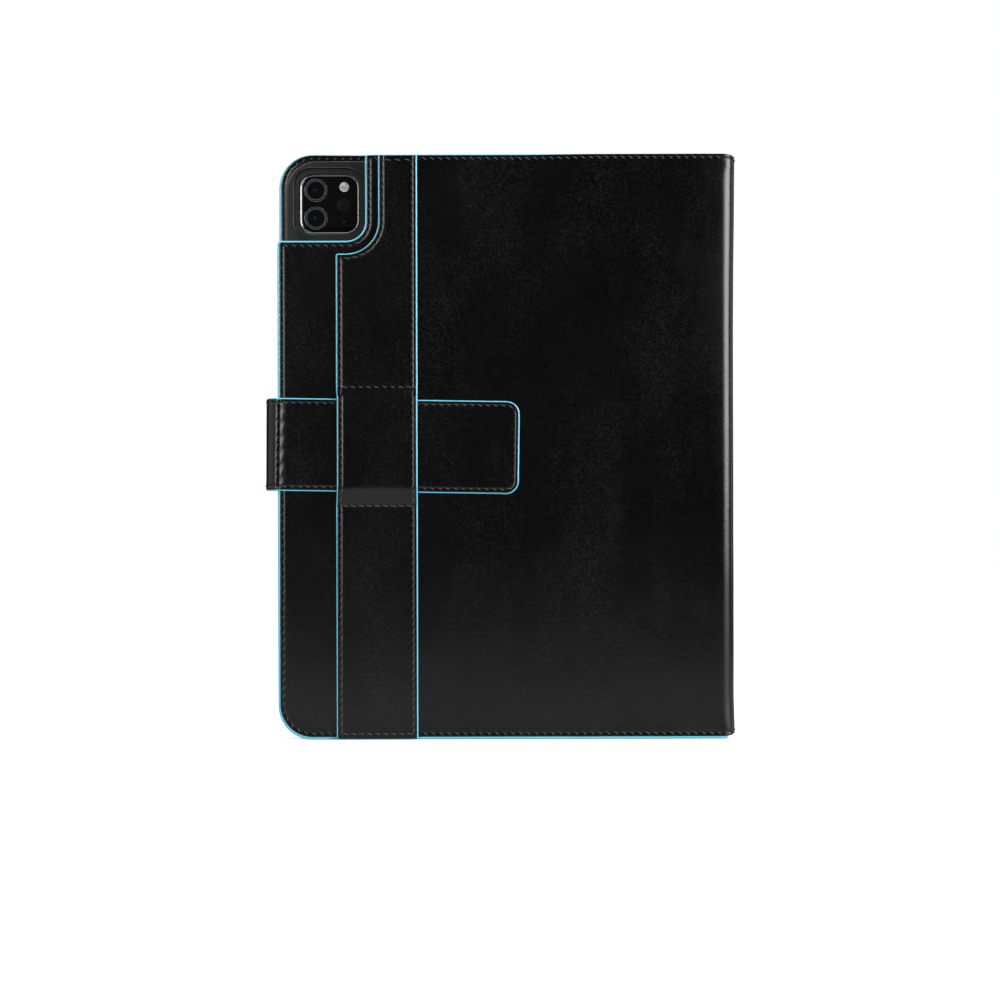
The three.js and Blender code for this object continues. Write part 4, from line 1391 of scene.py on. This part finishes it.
def small_windows(plate_top, camera_x, camera_z):
    """The flash, the depth sensor's window and the microphone hole."""
    x, z, r, _ = round_part("camera_flash")
    flash = lathe_piece("camera_flash_diffuser", x, z, [
        (0.0, plate_top - 0.06 * MM), (r * 0.35, plate_top - 0.05 * MM),
        (r * 0.8, plate_top - 0.03 * MM), (r * 0.96, plate_top), (r, plate_top + 0.1 * MM),
        (r, plate_top + 0.5 * MM), (0.0, plate_top + 0.5 * MM)], FLASH_LOOK)
    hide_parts("camera_flash")
    x, z, r, _ = round_part("depth_sensor")
    sensor = lathe_piece("depth_sensor_window", x, z, [
        (0.0, plate_top - 0.02 * MM), (r * 0.9, plate_top - 0.02 * MM), (r, plate_top + 0.05 * MM),
        (r, plate_top + 0.5 * MM), (0.0, plate_top + 0.5 * MM)], SENSOR_LOOK)
    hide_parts("depth_sensor")
    hole = lathe_piece("camera_microphone", camera_x + MICROPHONE_X, camera_z + MICROPHONE_Z, [
        (0.5 * MM, plate_top + 0.2 * MM), (0.5 * MM, plate_top - 0.03 * MM),
        (0.3 * MM, plate_top - 0.03 * MM), (0.28 * MM, plate_top + 0.2 * MM)], BARREL_LOOK,
        segments=24)
    for piece in (flash, sensor, hole):
        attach(piece, "back")


def button(node, body, along):
    """A flat push button with round ends. along is the axis it is long in, and it stands out of
    the tablet's edge along the other one."""
    low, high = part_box(node)
    if along == "x":
        start, end, out_low, out_high = low.x, high.x, low.z, high.z
    else:
        start, end, out_low, out_high = low.z, high.z, -high.x, -low.x
    outline = rounded_box(start, end, low.y, high.y, (high.y - low.y) / 2 - 0.02 * MM, corner=8,
                          side=4)
    rings = []
    for inset, out in ((0.0, out_low), (0.0, out_high - 0.15 * MM),
                       (0.05 * MM, out_high - 0.05 * MM), (0.2 * MM, out_high)):
        flat = outline(inset)
        if along == "x":
            rings.append(np.stack([flat[:, 0], flat[:, 1], np.full(len(flat), out)], 1))
        else:
            rings.append(np.stack([np.full(len(flat), -out), flat[:, 1], flat[:, 0]], 1))
    cap = stack_piece(f"{node}_cap", rings, METAL_LOOK)
    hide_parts(node)
    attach(cap, body)


tablet()
camera()
button("power_button", "power_key", "x")
button("volume_up_button", "volume_up_key", "z")
button("volume_down_button", "volume_down_key", "z")


# ---- Hidden CAD nodes that stay ----


def keep_cad_node(name, look):
    """Gives a CAD node that stays as it is its material."""
    data = frame["nodes"][name].data
    data.materials.clear()
    data.materials.append(look)


keep_cad_node("tray_liner", LINING_LOOK)
keep_cad_node("wake_magnet_upper", MAGNET_LOOK)
keep_cad_node("wake_magnet_lower", MAGNET_LOOK)


# ---- Floor, light and camera ----


def floor():
    size = 6.0
    mesh = bpy.data.meshes.new("floor")
    mesh.from_pydata([(-size, -size, 0), (size, -size, 0), (size, size, 0), (-size, size, 0)], [],
                     [(0, 1, 2, 3)])
    mesh.materials.append(floor_material())
    obj = bpy.data.objects.new("floor", mesh)
    obj.location.z = -FLOOR_GAP
    bpy.context.scene.collection.objects.link(obj)


def area_light(name, location, target, width, height, power):
    data = bpy.data.lights.new(name, "AREA")
    data.shape = "RECTANGLE"
    data.size = width
    data.size_y = height
    data.energy = power
    obj = bpy.data.objects.new(name, data)
    obj.location = location
    direction = Vector(target) - Vector(location)
    obj.rotation_euler = direction.to_track_quat("-Z", "Y").to_euler()
    bpy.context.scene.collection.objects.link(obj)
    return obj


def world():
    """White to the camera and dim to everything else, so that the lamps do the lighting."""
    scene = bpy.context.scene
    scene.world = bpy.data.worlds.new("studio")
    scene.world.use_nodes = True
    tree = scene.world.node_tree
    background = tree.nodes["Background"]
    background.inputs["Color"].default_value = (1, 1, 1, 1)
    background.inputs["Strength"].default_value = WORLD_LIGHT
    shown = tree.nodes.new("ShaderNodeBackground")
    shown.inputs["Color"].default_value = (1, 1, 1, 1)
    shown.inputs["Strength"].default_value = 1.0
    mix = tree.nodes.new("ShaderNodeMixShader")
    path = tree.nodes.new("ShaderNodeLightPath")
    tree.links.new(path.outputs["Is Camera Ray"], mix.inputs["Fac"])
    tree.links.new(background.outputs[0], mix.inputs[1])
    tree.links.new(shown.outputs[0], mix.inputs[2])
    tree.links.new(mix.outputs[0], tree.nodes["World Output"].inputs["Surface"])


CAMERA_DISTANCE = 1.38
CAMERA_X = -3.5 * MM
CAMERA_HEIGHT = 118.9 * MM
CAMERA_LENS = 100
CAMERA_ROLL = 0.14


def camera_view():
    data = bpy.data.cameras.new("camera")
    data.lens = CAMERA_LENS
    data.sensor_width = 36
    obj = bpy.data.objects.new("camera", data)
    obj.location = (CAMERA_X, BACK_FACE - CAMERA_DISTANCE, CAMERA_HEIGHT)
    obj.rotation_euler = (math.radians(90), math.radians(CAMERA_ROLL), 0)
    bpy.context.scene.collection.objects.link(obj)
    bpy.context.scene.camera = obj


def around(name, azimuth, distance, height, target, width, tall, power):
    """A softbox seen from the back panel's middle at an azimuth, positive to the right."""
    angle = math.radians(azimuth)
    place = (distance * math.sin(angle), -distance * math.cos(angle), height)
    return area_light(name, place, target, width, tall, power)


SPINE_SIDE = (0.11, 0, 0.15)
FORE_EDGE_SIDE = (-0.11, 0, 0.15)

# Name, azimuth in degrees, distance, height, what it points at, width, height of its panel, watts.
SOFTBOXES = [
    ("right_box", 60, 1.5, 0.62, SPINE_SIDE, 0.7, 1.08, 28),
    ("right_spill", 58, 1.6, 0.62, SPINE_SIDE, 1.3, 1.1, 12),
    ("right_wall", 112, 1.3, 0.5, SPINE_SIDE, 0.8, 1.0, 2),
    ("left_box", -32, 1.5, 0.55, FORE_EDGE_SIDE, 0.42, 0.95, 11),
    ("left_wall", -80, 1.5, 0.5, FORE_EDGE_SIDE, 1.6, 1.0, 4.5),
    ("rear_box", 200, 1.7, 0.9, (0, 0, 0.15), 1.0, 1.0, 12),
]

floor()
world()
camera_view()
area_light("overhead", (0, -0.05, 1.1), (0, -0.05, 0), 0.9, 0.9, 7)
for softbox in SOFTBOXES:
    around(*softbox)
bpy.context.scene.view_settings.view_transform = "Standard"
